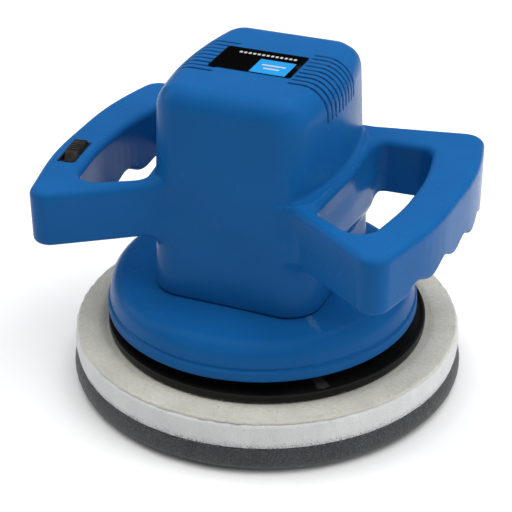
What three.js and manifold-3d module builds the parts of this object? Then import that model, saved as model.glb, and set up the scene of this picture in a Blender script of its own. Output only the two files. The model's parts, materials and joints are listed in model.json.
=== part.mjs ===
// Orbital (rotary) car polisher: a moulded two-handed housing over a DC motor,
// an eccentric hub and a free-turning foam pad.
// Units are millimetres and +Z is up. The origin lies on the motor axis, in the
// plane of the pad's working face. -Y is the front, +Y the user's side.
import * as THREE from 'three';
import Module from 'manifold-3d';
import { mergeVertices } from 'three/addons/utils/BufferGeometryUtils.js';

const wasm = await Module();
wasm.setup();

// ---- clearances -------------------------------------------------------------
const GAP = 0.3; // between pieces that touch or seat on each other
const RUN = 0.4; // between pieces that turn past each other
const OVER = 5; // how far a cutter runs past what it cuts
const FAR = 140; // farther out than any handle

// ---- pad --------------------------------------------------------------------
const THROW = 3; // offset of the pad axis from the motor axis
const PAD_R = 120;
const DARK_FOAM_H = 16.5;
const WHITE_FOAM_H = 16.5;
const FLEECE_H = 1.5;
const PAD_EDGE_R = 4; // rounding of the working face
const PAD_DISH = 2; // how far the plate sinks into the pad
const PLATE_R = 100;
const PLATE_T = 2.5;
const PLATE_RIM_W = 2.2;
const PLATE_RIM_H = 1.6;
const PLATE_BORE_R = 12;
const HOOK_T = 1.4;
const HUB_FLANGE_R = 27;
const HUB_FLANGE_T = 2.6;
const HUB_WALL = 4;
const HUB_SCREW_RING = 22;
const HUB_SCREWS = 3;

// ---- bearings: bore radius, outer radius, width -----------------------------
const PAD_BEARING = { bore: 5, outer: 13, width: 8 };
const LOWER_BEARING = { bore: 6, outer: 14, width: 8 };
const UPPER_BEARING = { bore: 4, outer: 11, width: 7 };

// ---- base housing -----------------------------------------------------------
const SKIRT_R = 97.5;
const SKIRT_BOTTOM = 46;
const SKIRT_TOP = 70;
const SKIRT_WALL = 3;
const WEB_T = 4;
const SHOULDER_R = 88;
const GROOVE_Z = 53;
const GROOVE_DEPTH = 1.2;
const POST_X = 35;
const POST_Y = 34;
const POST_R = 5;
const BOSS_R = 19;
const BOSS_DROP = 6; // bearing boss below the web

// ---- upper housing ----------------------------------------------------------
const WALL = 3;
const FOOT = { x: 53.5, front: -57, back: 60 }; // pedestal plan at the seam
const WAIST = { x: 52, front: -55, back: 60 }; // pedestal plan at deck height
const PEDESTAL_CORNER_R = 22;
const TOWER_X = -2; // the tower stands a little towards the switch
const TOWER_FOOT = { x: 54.3, front: -55, back: 72 }; // tower plan at deck height
const CROWN = { x: 52.3, front: -51, back: 65 }; // tower plan at the roof
const TOWER_WIDEST_Y = 4; // the side walls bow out and are widest here
const SIDE_BOW = { front: 7.5, back: 10 }; // how far they come in again by the corners
const SIDE_BOW_R = 150;
const TOWER_CORNER_R = 15;
const TOWER_DEPTH = 30; // how far the tower reaches down inside the deck
const DECK_Z = 142.5;
const ROOF_Z = 202.4;
const ROOF_SLOPE = 0.022; // the roof rises towards the user
const SHOULDER_ROUND = 16; // roundings of the roof's sides, front and back
const FRONT_ROUND = 11;
const BACK_ROUND = 19;
const DECK_ROUND = 4;
const ARM_ROOT_Z = 99;
const ARM_FRONT_Z = 108; // underside of the handles at the front
const ARM_BOTTOM_Z = 106; // and at the motor axis, from where it slopes
const ARM_BOTTOM_SLOPE = -0.09; // down towards the user
const REAR_ARM_Z = 106.5;
const GRIP_X = 88; // the finger grooves begin this far out
const LEDGE_Y = 72;
const FINGERS = 4;
const FINGER_PITCH = 34;
const FINGER_DEPTH = 5;
const FINGER_START_Y = -73;
const VENTS = 9;
const VENT_PITCH = 5.2;
const VENT_W = 1.8;
const VENT_Y = -16.5;
const VENT_TOP_X = 24;
const VENT_DROP = 21.5;
const BOSS_X = 46.6;
const BOSS_Y = 15;
const SCREW_BOSS_R = 4.6;

// Half plan of the handle deck: x, y, corner radius.
const DECK_PLAN = [
  [39, -52, 6],
  [107, -99, 11],
  [123, -38, 200],
  [126, 38, 200],
  [114.5, 86, 13],
  [46, LEDGE_Y, 12],
];
const FINGER_OPENING = [
  [54.3, -50, 9],
  [90, -70.5, 11],
  [98, -25, 150],
  [98.5, 15, 150],
  [91, 54, 10],
  [54.3, 52, 9],
  [56.6, TOWER_WIDEST_Y, SIDE_BOW_R],
];

// ---- motor ------------------------------------------------------------------
const SHAFT_R = 6;
const SHAFT_TOP_R = 4;
const SHAFT_BOTTOM_Z = 54;
const FAN_R = 37;
const FAN_Z = 80;
const FAN_H = 12;
const FAN_BLADES = 9;
const MOUNT_Z = 97;
const MOUNT_T = 3;
const CAN_R = 37;
const CAN_WALL = 1.8;
const CAN_TOP_Z = 165;
const MAGNET_T = 9;
const MAGNET_Z = 106;
const MAGNET_H = 40;
const MAGNET_ARC = 2.1;
const AIR_GAP = 0.8;
const CORE_Z = 110;
const CORE_H = 32;
const CORE_SLOTS = 8;
const SLOT_W = 5;
const SLOT_DEPTH = 9;
const COIL_H = 6;
const COMMUTATOR_R = 11;
const COMMUTATOR_Z = 151;
const COMMUTATOR_H = 12;
const CAP_T = 4;
const BOLT_Y = CAN_R - 6;
const WEIGHT_R = 46; // radius of the counterweight

// ---- switch -----------------------------------------------------------------
const SWITCH_AT = { x: -109.3, y: -34.5, turn: 0.14 };
const RECESS_W = 11;
const RECESS_L = 28;
const SLIDER_BASE_L = 20;
const SLIDER_TOP_L = 16;
const SLIDER_H = 6.2;
const SLIDER_RIBS = 6;
const BEZEL_WALL = 0.8;
const BEZEL_H = 5.5;
const STEM_W = 2.4;
const STEM_L = 4;
const SWITCH_TRAVEL = 6;
const STEM_Y = 3.2; // centre of the stem at rest

// ---- screws and bolts: head, shank and length below the head ------------------
const HOUSING_SCREW = { head: 3.6, headH: 2.6, shank: 2, length: 24 };
const MOUNT_SCREW = { head: 3.4, headH: 2.4, shank: 1.8, length: 14 };
const COVER_SCREW = { head: 3, headH: 2, shank: 1.5, length: 8 };
const COVER_SCREW_AT = [108, 62];
const COVER_SEAT = 6; // depth of the screw's seat above the underside
const HUB_SCREW = { head: 3, headH: 1.8, shank: 1.5, length: 4.6 };
const CENTRE_SCREW = { head: 5, headH: 2.6, shank: 2.5, length: 9.5 };

// ---- rectifier board ----------------------------------------------------------
const BOARD = { x: 30, front: -22, back: 30, drop: 14.4, t: 1.6 };
const RAIL_W = 6;

// ---- label and inlet --------------------------------------------------------
const LABEL = { x: -3, y: 4, w: 52, d: 31, t: 0.8 };
const INLET_R = 8;
const INLET_BORE_R = 4.2;
const INLET_Z = 122;

// ---- colours ----------------------------------------------------------------
const BLUE = { color: 0x1a67a8, roughness: 0.25, metalness: 0 };
const BLACK = { color: 0x161616, roughness: 0.35, metalness: 0 };
const STEEL = { color: 0xb4b8bc, roughness: 0.35, metalness: 1 };
const DARK_STEEL = { color: 0x55585c, roughness: 0.45, metalness: 1 };
const ALUMINIUM = { color: 0xc8cacc, roughness: 0.4, metalness: 1 };
const COPPER = { color: 0xb0632c, roughness: 0.35, metalness: 1 };
const BRASS = { color: 0xc9a24a, roughness: 0.35, metalness: 1 };
const CARBON = { color: 0x2a2a2c, roughness: 0.7, metalness: 0 };
const FERRITE = { color: 0x3a3838, roughness: 0.8, metalness: 0 };
const WHITE_FOAM = { color: 0xd6d6d4, roughness: 0.95, metalness: 0 };
const DARK_FOAM = { color: 0x474b4c, roughness: 0.95, metalness: 0 };
const FLEECE = { color: 0xc9c8bd, roughness: 1, metalness: 0 };
const RUBBER = { color: 0x1c1c1c, roughness: 0.8, metalness: 0 };
const LAMINATE = { color: 0x2f6b3c, roughness: 0.6, metalness: 0 };
const FILM = { color: 0xb88a2a, roughness: 0.5, metalness: 0 };
const WIRE_RED = { color: 0xa02a22, roughness: 0.5, metalness: 0 };
const WIRE_GREY = { color: 0x50545a, roughness: 0.5, metalness: 0 };

// ---- heights that follow from the sizes above --------------------------------
const WHITE_Z = DARK_FOAM_H + GAP;
const FLEECE_Z = WHITE_Z + WHITE_FOAM_H + GAP;
const PAD_TOP = FLEECE_Z + FLEECE_H;
const SEAT_Z = PAD_TOP - PAD_DISH; // where the hook disc meets the fleece
const HOOK_Z = SEAT_Z + GAP;
const PLATE_Z = HOOK_Z + HOOK_T + GAP;
const HUB_Z = PLATE_Z + PLATE_T + GAP;
const PAD_BEARING_Z = HUB_Z + HUB_FLANGE_T + 0.6;
const ECCENTRIC_Z = PAD_BEARING_Z + PAD_BEARING.width + 2;
const WEB_Z = SKIRT_TOP - WEB_T;
const BOSS_Z = WEB_Z - BOSS_DROP;
const LOWER_BEARING_Z = BOSS_Z + 7;
const BOSS_TOP = LOWER_BEARING_Z + LOWER_BEARING.width + 3;
const SEAM_Z = SKIRT_TOP + GAP;
const SCREW_BOSS_TOP = MOUNT_Z - GAP; // the bosses end below the mount plate
const CAN_Z = MOUNT_Z + MOUNT_T + GAP;
const CAP_Z = CAN_TOP_Z + GAP;
const UPPER_BEARING_Z = CAP_Z + CAP_T + 2;
const CORE_R = CAN_R - CAN_WALL - GAP - MAGNET_T - AIR_GAP;
const BRUSH_Z = COMMUTATOR_Z + COMMUTATOR_H / 2;
const BOLT = { head: 3.4, headH: 2.6, shank: 1.8, length: CAP_Z + CAP_T + GAP - MOUNT_Z };
const ECCENTRIC_TOP = BOSS_Z - 1;
const BOARD_Z = ROOF_Z - BOARD.drop;

// =============================================================================
// Geometry helpers
// =============================================================================

function toSolid(geometry) {
  const bare = geometry.clone();
  bare.deleteAttribute('normal');
  bare.deleteAttribute('uv');
  const merged = mergeVertices(bare, 1e-4);
  const position = merged.attributes.position;
  const corners = [];
  let volume = 0;
  const [a, b, c] = [new THREE.Vector3(), new THREE.Vector3(), new THREE.Vector3()];
  for (let i = 0; i < merged.index.count; i += 3) {
    const [p, q, r] = [0, 1, 2].map((k) => merged.index.getX(i + k));
    if (p === q || q === r || r === p) continue;
    corners.push(p, q, r);
    a.fromBufferAttribute(position, p);
    b.fromBufferAttribute(position, q);
    c.fromBufferAttribute(position, r);
    volume += a.dot(b.cross(c));
  }
  if (volume < 0) {
    for (let i = 0; i < corners.length; i += 3) {
      [corners[i], corners[i + 1]] = [corners[i + 1], corners[i]];
    }
  }
  return new wasm.Manifold(new wasm.Mesh({
    numProp: 3,
    vertProperties: new Float32Array(position.array),
    triVerts: new Uint32Array(corners),
  }));
}

function toGeometry(manifold) {
  const mesh = manifold.getMesh();
  const geometry = new THREE.BufferGeometry();
  geometry.setAttribute('position', new THREE.BufferAttribute(mesh.vertProperties, 3));
  geometry.setIndex(new THREE.BufferAttribute(mesh.triVerts, 1));
  const flat = geometry.toNonIndexed();
  flat.computeVertexNormals();
  return flat;
}

const join = (...parts) => parts.reduce((sum, part) => sum.add(part));
const cut = (body, ...tools) => tools.reduce((rest, tool) => rest.subtract(tool), body);

// A ring or disc turned about Z from [radius, z] points.
function turned(profile, segments = 24) {
  const points = profile.map(([r, z]) => new THREE.Vector2(r, z));
  if (profile[0][0] > 0) points.push(points[0].clone());
  return toSolid(new THREE.LatheGeometry(points, segments).rotateX(Math.PI / 2));
}

const tube = (inner, outer, z0, z1, segments) => turned(
  [[inner, z0], [outer, z0], [outer, z1], [inner, z1]], segments);

const rod = (radius, z0, z1, segments) => turned(
  [[0, z0], [radius, z0], [radius, z1], [0, z1]], segments);

const at = (body, x, y, z = 0) => body.translate([x, y, z]);

function block(x0, x1, y0, y1, z0, z1) {
  const geometry = new THREE.BoxGeometry(x1 - x0, y1 - y0, z1 - z0);
  geometry.translate((x0 + x1) / 2, (y0 + y1) / 2, (z0 + z1) / 2);
  return toSolid(geometry);
}

// Points of a closed outline whose corners [x, y, radius] are rounded.
function rounded(corners, step = 0.4) {
  const points = [];
  corners.forEach(([x, y, radius], i) => {
    const corner = new THREE.Vector2(x, y);
    const [px, py] = corners[(i + corners.length - 1) % corners.length];
    const [nx, ny] = corners[(i + 1) % corners.length];
    const back = new THREE.Vector2(px - x, py - y).normalize();
    const on = new THREE.Vector2(nx - x, ny - y).normalize();
    const half = Math.acos(THREE.MathUtils.clamp(back.dot(on), -1, 1)) / 2;
    const sweep = Math.PI - 2 * half;
    const reach = radius / Math.sin(half);
    const centre = back.clone().add(on).normalize().multiplyScalar(reach).add(corner);
    const start = back.clone().multiplyScalar(radius / Math.tan(half)).add(corner).sub(centre);
    const turn = Math.sign(back.cross(on)) * -1;
    const count = Math.max(2, Math.ceil(sweep / step));
    for (let k = 0; k <= count; k += 1) {
      const spoke = start.clone().rotateAround(new THREE.Vector2(), turn * sweep * k / count);
      points.push(spoke.add(centre));
    }
  });
  return points;
}

// Moves a counterclockwise outline inwards by a distance (outwards if negative).
function inset(points, distance) {
  const count = points.length;
  return points.map((point, i) => {
    const before = point.clone().sub(points[(i + count - 1) % count]).normalize();
    const after = points[(i + 1) % count].clone().sub(point).normalize();
    const normal = new THREE.Vector2(-before.y - after.y, before.x + after.x).normalize();
    const spread = Math.max(0.5, normal.x * -before.y + normal.y * before.x);
    return point.clone().addScaledVector(normal, distance / spread);
  });
}

const mirrored = (points) => points.map((p) => new THREE.Vector2(-p.x, p.y)).reverse();

function prism(outline, z0, z1, holes = [], bevel = 0) {
  const shape = new THREE.Shape(outline);
  shape.holes = holes.map((hole) => new THREE.Path(hole));
  const geometry = new THREE.ExtrudeGeometry(shape, {
    depth: z1 - z0 - 2 * bevel,
    bevelEnabled: bevel > 0,
    bevelThickness: bevel,
    bevelSize: bevel,
    bevelOffset: -bevel,
    bevelSegments: 2,
    steps: 1,
  });
  return toSolid(geometry.translate(0, 0, z0 + bevel));
}

// A prism whose outline lies in the Y-Z plane, running from x0 to x1.
function sideways(outline, x0, x1) {
  const geometry = new THREE.ExtrudeGeometry(new THREE.Shape(outline), {
    depth: x1 - x0,
    bevelEnabled: false,
  });
  geometry.rotateX(Math.PI / 2).rotateZ(Math.PI / 2);
  return toSolid(geometry.translate(x0, 0, 0));
}

// Skins a stack of closed rings that all have the same number of points.
function loft(rings) {
  const count = rings[0].length;
  const vertices = rings.flat().flatMap((p) => [p.x, p.y, p.z]);
  const centre = (ring) => ring.reduce((sum, p) => sum.add(p), new THREE.Vector3())
    .divideScalar(count);
  const bottom = centre(rings[0].map((p) => p.clone()));
  const top = centre(rings.at(-1).map((p) => p.clone()));
  vertices.push(...bottom.toArray(), ...top.toArray());
  const index = [];
  const last = (rings.length - 1) * count;
  for (let i = 0; i < count; i += 1) {
    const next = (i + 1) % count;
    for (let k = 0; k < rings.length - 1; k += 1) {
      const [a, b] = [k * count + i, k * count + next];
      index.push(a, b, b + count, a, b + count, a + count);
    }
    index.push(next, i, rings.length * count);
    index.push(last + i, last + next, rings.length * count + 1);
  }
  const geometry = new THREE.BufferGeometry();
  geometry.setAttribute('position', new THREE.Float32BufferAttribute(vertices, 3));
  geometry.setIndex(index);
  return toSolid(geometry);
}

function repeat(count, make) {
  return Array.from({ length: count }, (_, i) => make(i));
}

const onRing = (count, radius, start = 0) => repeat(count, (i) => {
  const angle = start + i * 2 * Math.PI / count;
  return { x: radius * Math.cos(angle), y: radius * Math.sin(angle), angle };
});

function part(name, body, look) {
  const geometry = body instanceof THREE.BufferGeometry ? body : toGeometry(body);
  const mesh = new THREE.Mesh(geometry, new THREE.MeshStandardMaterial(look));
  mesh.name = name;
  return mesh;
}

// A screw standing on the origin with its head on top; flip points it upwards.
function screw(name, { head, headH, shank, length }, place, flip = false) {
  const slot = block(-head * 0.7, head * 0.7, -head * 0.14, head * 0.14, headH * 0.45, headH + 1);
  const body = cut(turned([
    [0, -length], [shank * 0.6, -length], [shank, -length + shank * 0.6],
    [shank, 0], [head, 0], [head, headH], [0, headH],
  ], 8), slot);
  const mesh = part(name, body, STEEL);
  mesh.position.set(...place);
  if (flip) mesh.rotation.x = Math.PI;
  return mesh;
}

// =============================================================================
// Housing
// =============================================================================

// A plan a share of the way from a low one to a high one, a wall further in.
function planAt(low, high, share, wall) {
  const mix = (key) => THREE.MathUtils.lerp(low[key], high[key], share);
  return { x: mix('x') - wall, front: mix('front') + wall, back: mix('back') - wall };
}

// How far a rounded edge has moved in at a height z below its top.
function roundIn(z, top, radius) {
  const rise = Math.max(0, z - (top - radius));
  return radius - Math.sqrt(radius * radius - rise * rise);
}

// The body between the seam and the deck, or its inner face a wall further in.
function pedestal(wall, z0, z1) {
  const radius = PEDESTAL_CORNER_R - wall;
  return loft([z0, z1].map((z) => {
    const { x, front, back } = planAt(FOOT, WAIST, (z - SEAM_Z) / (DECK_Z - SEAM_Z), wall);
    const ring = rounded([[x, front, radius], [x, back, radius], [-x, back, radius],
      [-x, front, radius]]);
    return ring.map((p) => new THREE.Vector3(p.x, p.y, z));
  }));
}

// The motor tower with its bowed sides, from inside the deck up to the roof.
function tower(wall, bottom) {
  const top = ROOF_Z - wall;
  const radius = TOWER_CORNER_R - wall;
  const slices = 6;
  const roundings = repeat(slices + 1, (i) => (
    top - (BACK_ROUND - wall) * (1 - Math.sin(i / slices * Math.PI / 2))));
  return loft([bottom, DECK_Z, ...roundings].map((z) => {
    const share = Math.max(0, z - DECK_Z) / (ROOF_Z - DECK_Z);
    const plan = planAt(TOWER_FOOT, CROWN, share, wall);
    const x = plan.x - roundIn(z, top, SHOULDER_ROUND - wall);
    const front = plan.front + roundIn(z, top, FRONT_ROUND - wall);
    const back = plan.back - roundIn(z, top, BACK_ROUND - wall);
    const side = [[x - SIDE_BOW.front, front, radius], [x, TOWER_WIDEST_Y, SIDE_BOW_R],
      [x - SIDE_BOW.back, back, radius]];
    const ring = rounded([...side, ...side.map(([cx, cy, r]) => [-cx, cy, r]).reverse()]);
    return ring.map((p) => new THREE.Vector3(
      p.x + TOWER_X, p.y, z + p.y * share * ROOF_SLOPE));
  }));
}

const deckOutline = () => rounded([
  ...DECK_PLAN, ...DECK_PLAN.map(([x, y, radius]) => [-x, y, radius]).reverse(),
]);
const openingRight = () => rounded(FINGER_OPENING);

const armBottom = (y) => Math.min(ARM_FRONT_Z, ARM_BOTTOM_Z + ARM_BOTTOM_SLOPE * y);

// Everything below the handles from x0 to x1, with finger grooves of some depth in its top.
function underside(x0, x1, depth) {
  const steps = FINGERS * 4;
  const bend = (ARM_FRONT_Z - ARM_BOTTOM_Z) / ARM_BOTTOM_SLOPE;
  const waves = repeat(steps + 1, (i) => {
    const y = FINGER_START_Y + i / 4 * FINGER_PITCH;
    return [y, armBottom(y) + depth * Math.sin(i / 4 * Math.PI) ** 2];
  });
  const top = [[-FAR, ARM_FRONT_Z], ...(depth > 0 ? waves : [[bend, ARM_FRONT_Z]]),
    [FAR, armBottom(FAR)]];
  const outline = [[-FAR, 0], ...top, [FAR, 0]].map(([y, z]) => new THREE.Vector2(y, z));
  return sideways(outline.reverse(), x0, x1);
}

function bothUndersides() {
  const right = join(underside(WAIST.x, GRIP_X, 0), underside(GRIP_X, FAR, FINGER_DEPTH));
  return join(right, right.mirror([1, 0, 0]));
}

function ventCutters() {
  return repeat(VENTS, (i) => {
    const y = VENT_Y + i * VENT_PITCH;
    const lift = y * ROOF_SLOPE;
    const z0 = ROOF_Z - VENT_DROP + lift;
    const outer = block(VENT_TOP_X, FAR, y - VENT_W / 2, y + VENT_W / 2, z0, ROOF_Z + OVER);
    const keep = block(0, BOARD.x + RAIL_W, y - VENT_W, y + VENT_W, DECK_Z, ROOF_Z - WALL - RAIL_W);
    const slot = cut(outer, keep);
    return join(slot, slot.mirror([1, 0, 0]));
  });
}

function upperHousing() {
  const openings = [openingRight(), mirrored(openingRight())];
  const slab = prism(deckOutline(), ARM_ROOT_Z - DECK_ROUND - OVER, DECK_Z, openings, DECK_ROUND);
  const root = FOOT.x + 2 * WALL;
  const trimmed = cut(slab, bothUndersides(),
    block(-root, root, -FAR, FAR, 0, ARM_ROOT_Z),
    block(-root, root, FOOT.back, FAR, 0, REAR_ARM_Z));
  const outer = join(pedestal(0, SEAM_Z, DECK_Z), tower(0, DECK_Z - TOWER_DEPTH), trimmed);

  const inner = inset(deckOutline(), WALL);
  const widened = openings.map((hole) => inset(hole, -WALL));
  const armVoid = prism(inner, 0, DECK_Z - WALL, widened);
  const floor = FOOT.x + WALL;
  const rootFloor = join(
    block(-floor, floor, -FAR, FAR, -OVER, ARM_ROOT_Z + WALL),
    block(-floor, floor, WAIST.back, FAR, -OVER, REAR_ARM_Z + WALL));
  const hollow = join(
    pedestal(WALL, SEAM_Z - OVER, DECK_Z - WALL),
    tower(WALL, DECK_Z - TOWER_DEPTH + WALL),
    cut(armVoid, rootFloor));
  const bosses = cornersOf(BOSS_X, BOSS_Y).map(([x, y]) => at(
    rod(SCREW_BOSS_R, SEAM_Z + 1, SCREW_BOSS_TOP, 14), x, y));
  const holes = cornersOf(BOSS_X, BOSS_Y).map(([x, y]) => at(
    rod(HOUSING_SCREW.shank + GAP, SEAM_Z - OVER, SEAM_Z + HOUSING_SCREW.length, 8), x, y));
  const shell = cut(join(cut(outer, hollow), ...bosses), ...holes);
  const rails = boardRails();
  return cut(join(shell, ...rails), ...ventCutters(), switchRecess(), inletHole(), labelPocket());
}

const cornersOf = (x, y) => [[x, y], [-x, y], [-x, -y], [x, -y]];

function switchRecess() {
  const recess = block(-RECESS_W / 2, RECESS_W / 2, -RECESS_L / 2 - GAP, RECESS_L / 2 + GAP,
    DECK_Z - WALL - 1, DECK_Z + OVER);
  return recess.rotate([0, 0, THREE.MathUtils.radToDeg(SWITCH_AT.turn)])
    .translate([SWITCH_AT.x, SWITCH_AT.y, 0]);
}

function inletHole() {
  return rod(INLET_R + GAP, 0, 30, 20).rotate([90, 0, 0])
    .translate([0, LEDGE_Y + OVER, INLET_Z]);
}

function labelPocket() {
  return onRoof(block(-LABEL.w / 2 - GAP, LABEL.w / 2 + GAP, -LABEL.d / 2 - GAP,
    LABEL.d / 2 + GAP, -LABEL.t - GAP, OVER));
}

// Stands a piece on the sloping roof at the label's place.
function onRoof(body) {
  const angle = THREE.MathUtils.radToDeg(Math.atan(ROOF_SLOPE));
  return body.rotate([angle, 0, 0]).translate([LABEL.x, LABEL.y, ROOF_Z + LABEL.y * ROOF_SLOPE]);
}

const labelPlate = () => part('label_plate', onRoof(prism(rounded([
  [LABEL.w / 2, -LABEL.d / 2, 1], [LABEL.w / 2, LABEL.d / 2, 1],
  [-LABEL.w / 2, LABEL.d / 2, 1], [-LABEL.w / 2, -LABEL.d / 2, 1],
], 0.8), -LABEL.t, 0.1)), BLACK);

// The base: a skirt over the plate, a web with the bearing boss, and four posts.
function baseHousing() {
  const bearingFit = LOWER_BEARING.outer + GAP;
  const inner = SKIRT_R - SKIRT_WALL;
  const shell = turned([
    [LOWER_BEARING.outer - 2.5, BOSS_Z], [BOSS_R, BOSS_Z], [BOSS_R, WEB_Z],
    [SHOULDER_R - 7, WEB_Z - 1], [inner - 6, SKIRT_TOP - 13], [inner - 1, GROOVE_Z - 1],
    [inner, SKIRT_BOTTOM],
    [SKIRT_R, SKIRT_BOTTOM], [SKIRT_R - 0.8, GROOVE_Z - 1.6],
    [SKIRT_R - 0.8 - GROOVE_DEPTH, GROOVE_Z], [SKIRT_R - 1.6, GROOVE_Z + 1.6],
    [SKIRT_R - 4, SKIRT_TOP - 7], [SHOULDER_R + 2, SKIRT_TOP - 2.5], [SHOULDER_R - 6, SKIRT_TOP],
    [BOSS_R, SKIRT_TOP], [BOSS_R, BOSS_TOP],
    [bearingFit, BOSS_TOP], [bearingFit, LOWER_BEARING_Z - GAP],
    [LOWER_BEARING.outer - 2.5, LOWER_BEARING_Z - GAP],
  ], 44);
  const posts = cornersOf(POST_X, POST_Y).map(([x, y]) => at(
    rod(POST_R, SKIRT_TOP - 1, MOUNT_Z - GAP, 14), x, y));
  const pilots = cornersOf(POST_X, POST_Y).map(([x, y]) => at(
    rod(MOUNT_SCREW.shank + GAP, MOUNT_Z - 16, MOUNT_Z + OVER, 8), x, y));
  const through = cornersOf(BOSS_X, BOSS_Y).map(([x, y]) => at(join(
    rod(HOUSING_SCREW.shank + GAP, WEB_Z - OVER, SKIRT_TOP + OVER, 12),
    rod(HOUSING_SCREW.head + GAP, WEB_Z - OVER, WEB_Z + 1.2, 12)), x, y));
  return cut(join(shell, ...posts), ...pilots, ...through);
}

// Closes the underside of one handle loop; side is 1 for right and -1 for left.
function gripCover(side) {
  const inner = inset(deckOutline(), WALL + GAP);
  const hole = inset(side > 0 ? openingRight() : mirrored(openingRight()), -WALL - GAP);
  const body = prism(inner, ARM_ROOT_Z - 5, ARM_BOTTOM_Z + FINGER_DEPTH + WALL, [hole]);
  const start = FOOT.x + WALL + GAP;
  const elsewhere = side > 0
    ? block(-FAR, start, -FAR, FAR, 0, DECK_Z)
    : block(-start, FAR, -FAR, FAR, 0, DECK_Z);
  const [x, y] = COVER_SCREW_AT;
  const drill = at(join(
    rod(COVER_SCREW.shank + GAP, 0, DECK_Z, 12),
    rod(COVER_SCREW.head + GAP, 0, coverSeat() + GAP, 12)), side * x, y);
  return cut(body, elsewhere, bothUndersides(), drill);
}

const coverSeat = () => armBottom(COVER_SCREW_AT[1]) + COVER_SEAT;

// Two rails under the roof that hold the rectifier board by its edges.
function boardRails() {
  const { x, front, back, t } = BOARD;
  const roof = ROOF_Z - WALL;
  const groove = x + RAIL_W / 4;
  const rail = cut(block(x - 2, x - 2 + RAIL_W, front, back, BOARD_Z - WALL, roof + 1),
    block(0, groove, front - OVER, back + OVER, BOARD_Z - GAP, BOARD_Z + t + GAP),
    block(0, x, front - OVER, back + OVER, BOARD_Z + t, roof - 4));
  return [rail, rail.mirror([1, 0, 0])];
}

function electronics() {
  const { x, front, back, t } = BOARD;
  const edge = x + RAIL_W / 4 - GAP;
  const top = BOARD_Z + t + GAP;
  return [
    part('rectifier_board', block(-edge, edge, front + 2, back - 2, BOARD_Z, BOARD_Z + t), LAMINATE),
    part('bridge_rectifier', block(-20, -5, -12, 3, top, top + 4.5), BLACK),
    part('suppression_capacitor', block(2, 18, 2, 12, top, top + 5), FILM),
  ];
}

function inletGland() {
  const body = turned([
    [INLET_BORE_R, -10], [INLET_R, -10], [INLET_R, GAP], [INLET_R + 3, GAP],
    [INLET_R + 3, 2.5], [INLET_BORE_R + 3, 12], [INLET_BORE_R, 12],
  ], 20);
  const mesh = part('cord_inlet_gland', body, RUBBER);
  mesh.rotation.x = -Math.PI / 2;
  mesh.position.set(0, LEDGE_Y, INLET_Z);
  return mesh;
}

// =============================================================================
// Motor: fixed pieces
// =============================================================================

function mountPlate() {
  const reach = 6;
  const corners = cornersOf(POST_X + reach, POST_Y + reach)
    .map(([x, y]) => [x, y, reach + 2]).reverse();
  const plate = join(prism(rounded(corners, 0.5), MOUNT_Z, MOUNT_Z + MOUNT_T),
    rod(CAN_R + 1, MOUNT_Z, MOUNT_Z + MOUNT_T, 32));
  const holes = cornersOf(POST_X, POST_Y).map(([x, y]) => at(
    rod(MOUNT_SCREW.shank + GAP, MOUNT_Z - OVER, MOUNT_Z + OVER, 8), x, y));
  const centre = rod(SHAFT_R + 6, MOUNT_Z - OVER, MOUNT_Z + OVER);
  const bolts = [-BOLT_Y, BOLT_Y].map((y) => at(
    rod(BOLT.shank + GAP, MOUNT_Z - OVER, MOUNT_Z + OVER, 8), 0, y));
  return cut(plate, ...holes, centre, ...bolts);
}

function motorCan() {
  const can = turned([
    [SHAFT_R + 6, CAN_Z], [CAN_R, CAN_Z], [CAN_R, CAN_TOP_Z],
    [CAN_R - CAN_WALL, CAN_TOP_Z], [CAN_R - CAN_WALL, CAN_Z + CAN_WALL],
    [SHAFT_R + 6, CAN_Z + CAN_WALL],
  ], 32);
  return cut(can, ...[-BOLT_Y, BOLT_Y].map((y) => at(
    rod(BOLT.shank + GAP, CAN_Z - OVER, CAN_Z + OVER, 8), 0, y)));
}

function endCap() {
  const seat = UPPER_BEARING.outer + GAP;
  const cap = turned([
    [SHAFT_TOP_R + 2, CAP_Z], [CAN_R, CAP_Z], [CAN_R, CAP_Z + CAP_T], [seat + 3, CAP_Z + CAP_T],
    [seat + 3, UPPER_BEARING_Z + UPPER_BEARING.width], [seat, UPPER_BEARING_Z + UPPER_BEARING.width],
    [seat, UPPER_BEARING_Z - GAP], [SHAFT_TOP_R + 2, UPPER_BEARING_Z - GAP],
  ], 32);
  return cut(cap, ...[-BOLT_Y, BOLT_Y].map((y) => at(
    rod(BOLT.shank + GAP, CAP_Z - OVER, CAP_Z + CAP_T + OVER, 8), 0, y)));
}

function magnet(side) {
  const outer = CAN_R - CAN_WALL - GAP;
  const inner = outer - MAGNET_T;
  const steps = 10;
  const arc = (radius, from, to) => repeat(steps + 1, (i) => {
    const angle = THREE.MathUtils.lerp(from, to, i / steps);
    return new THREE.Vector2(side * radius * Math.cos(angle), radius * Math.sin(angle));
  });
  const outline = [...arc(outer, -MAGNET_ARC / 2, MAGNET_ARC / 2),
    ...arc(inner, MAGNET_ARC / 2, -MAGNET_ARC / 2)];
  return prism(outline, MAGNET_Z, MAGNET_Z + MAGNET_H);
}

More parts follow.
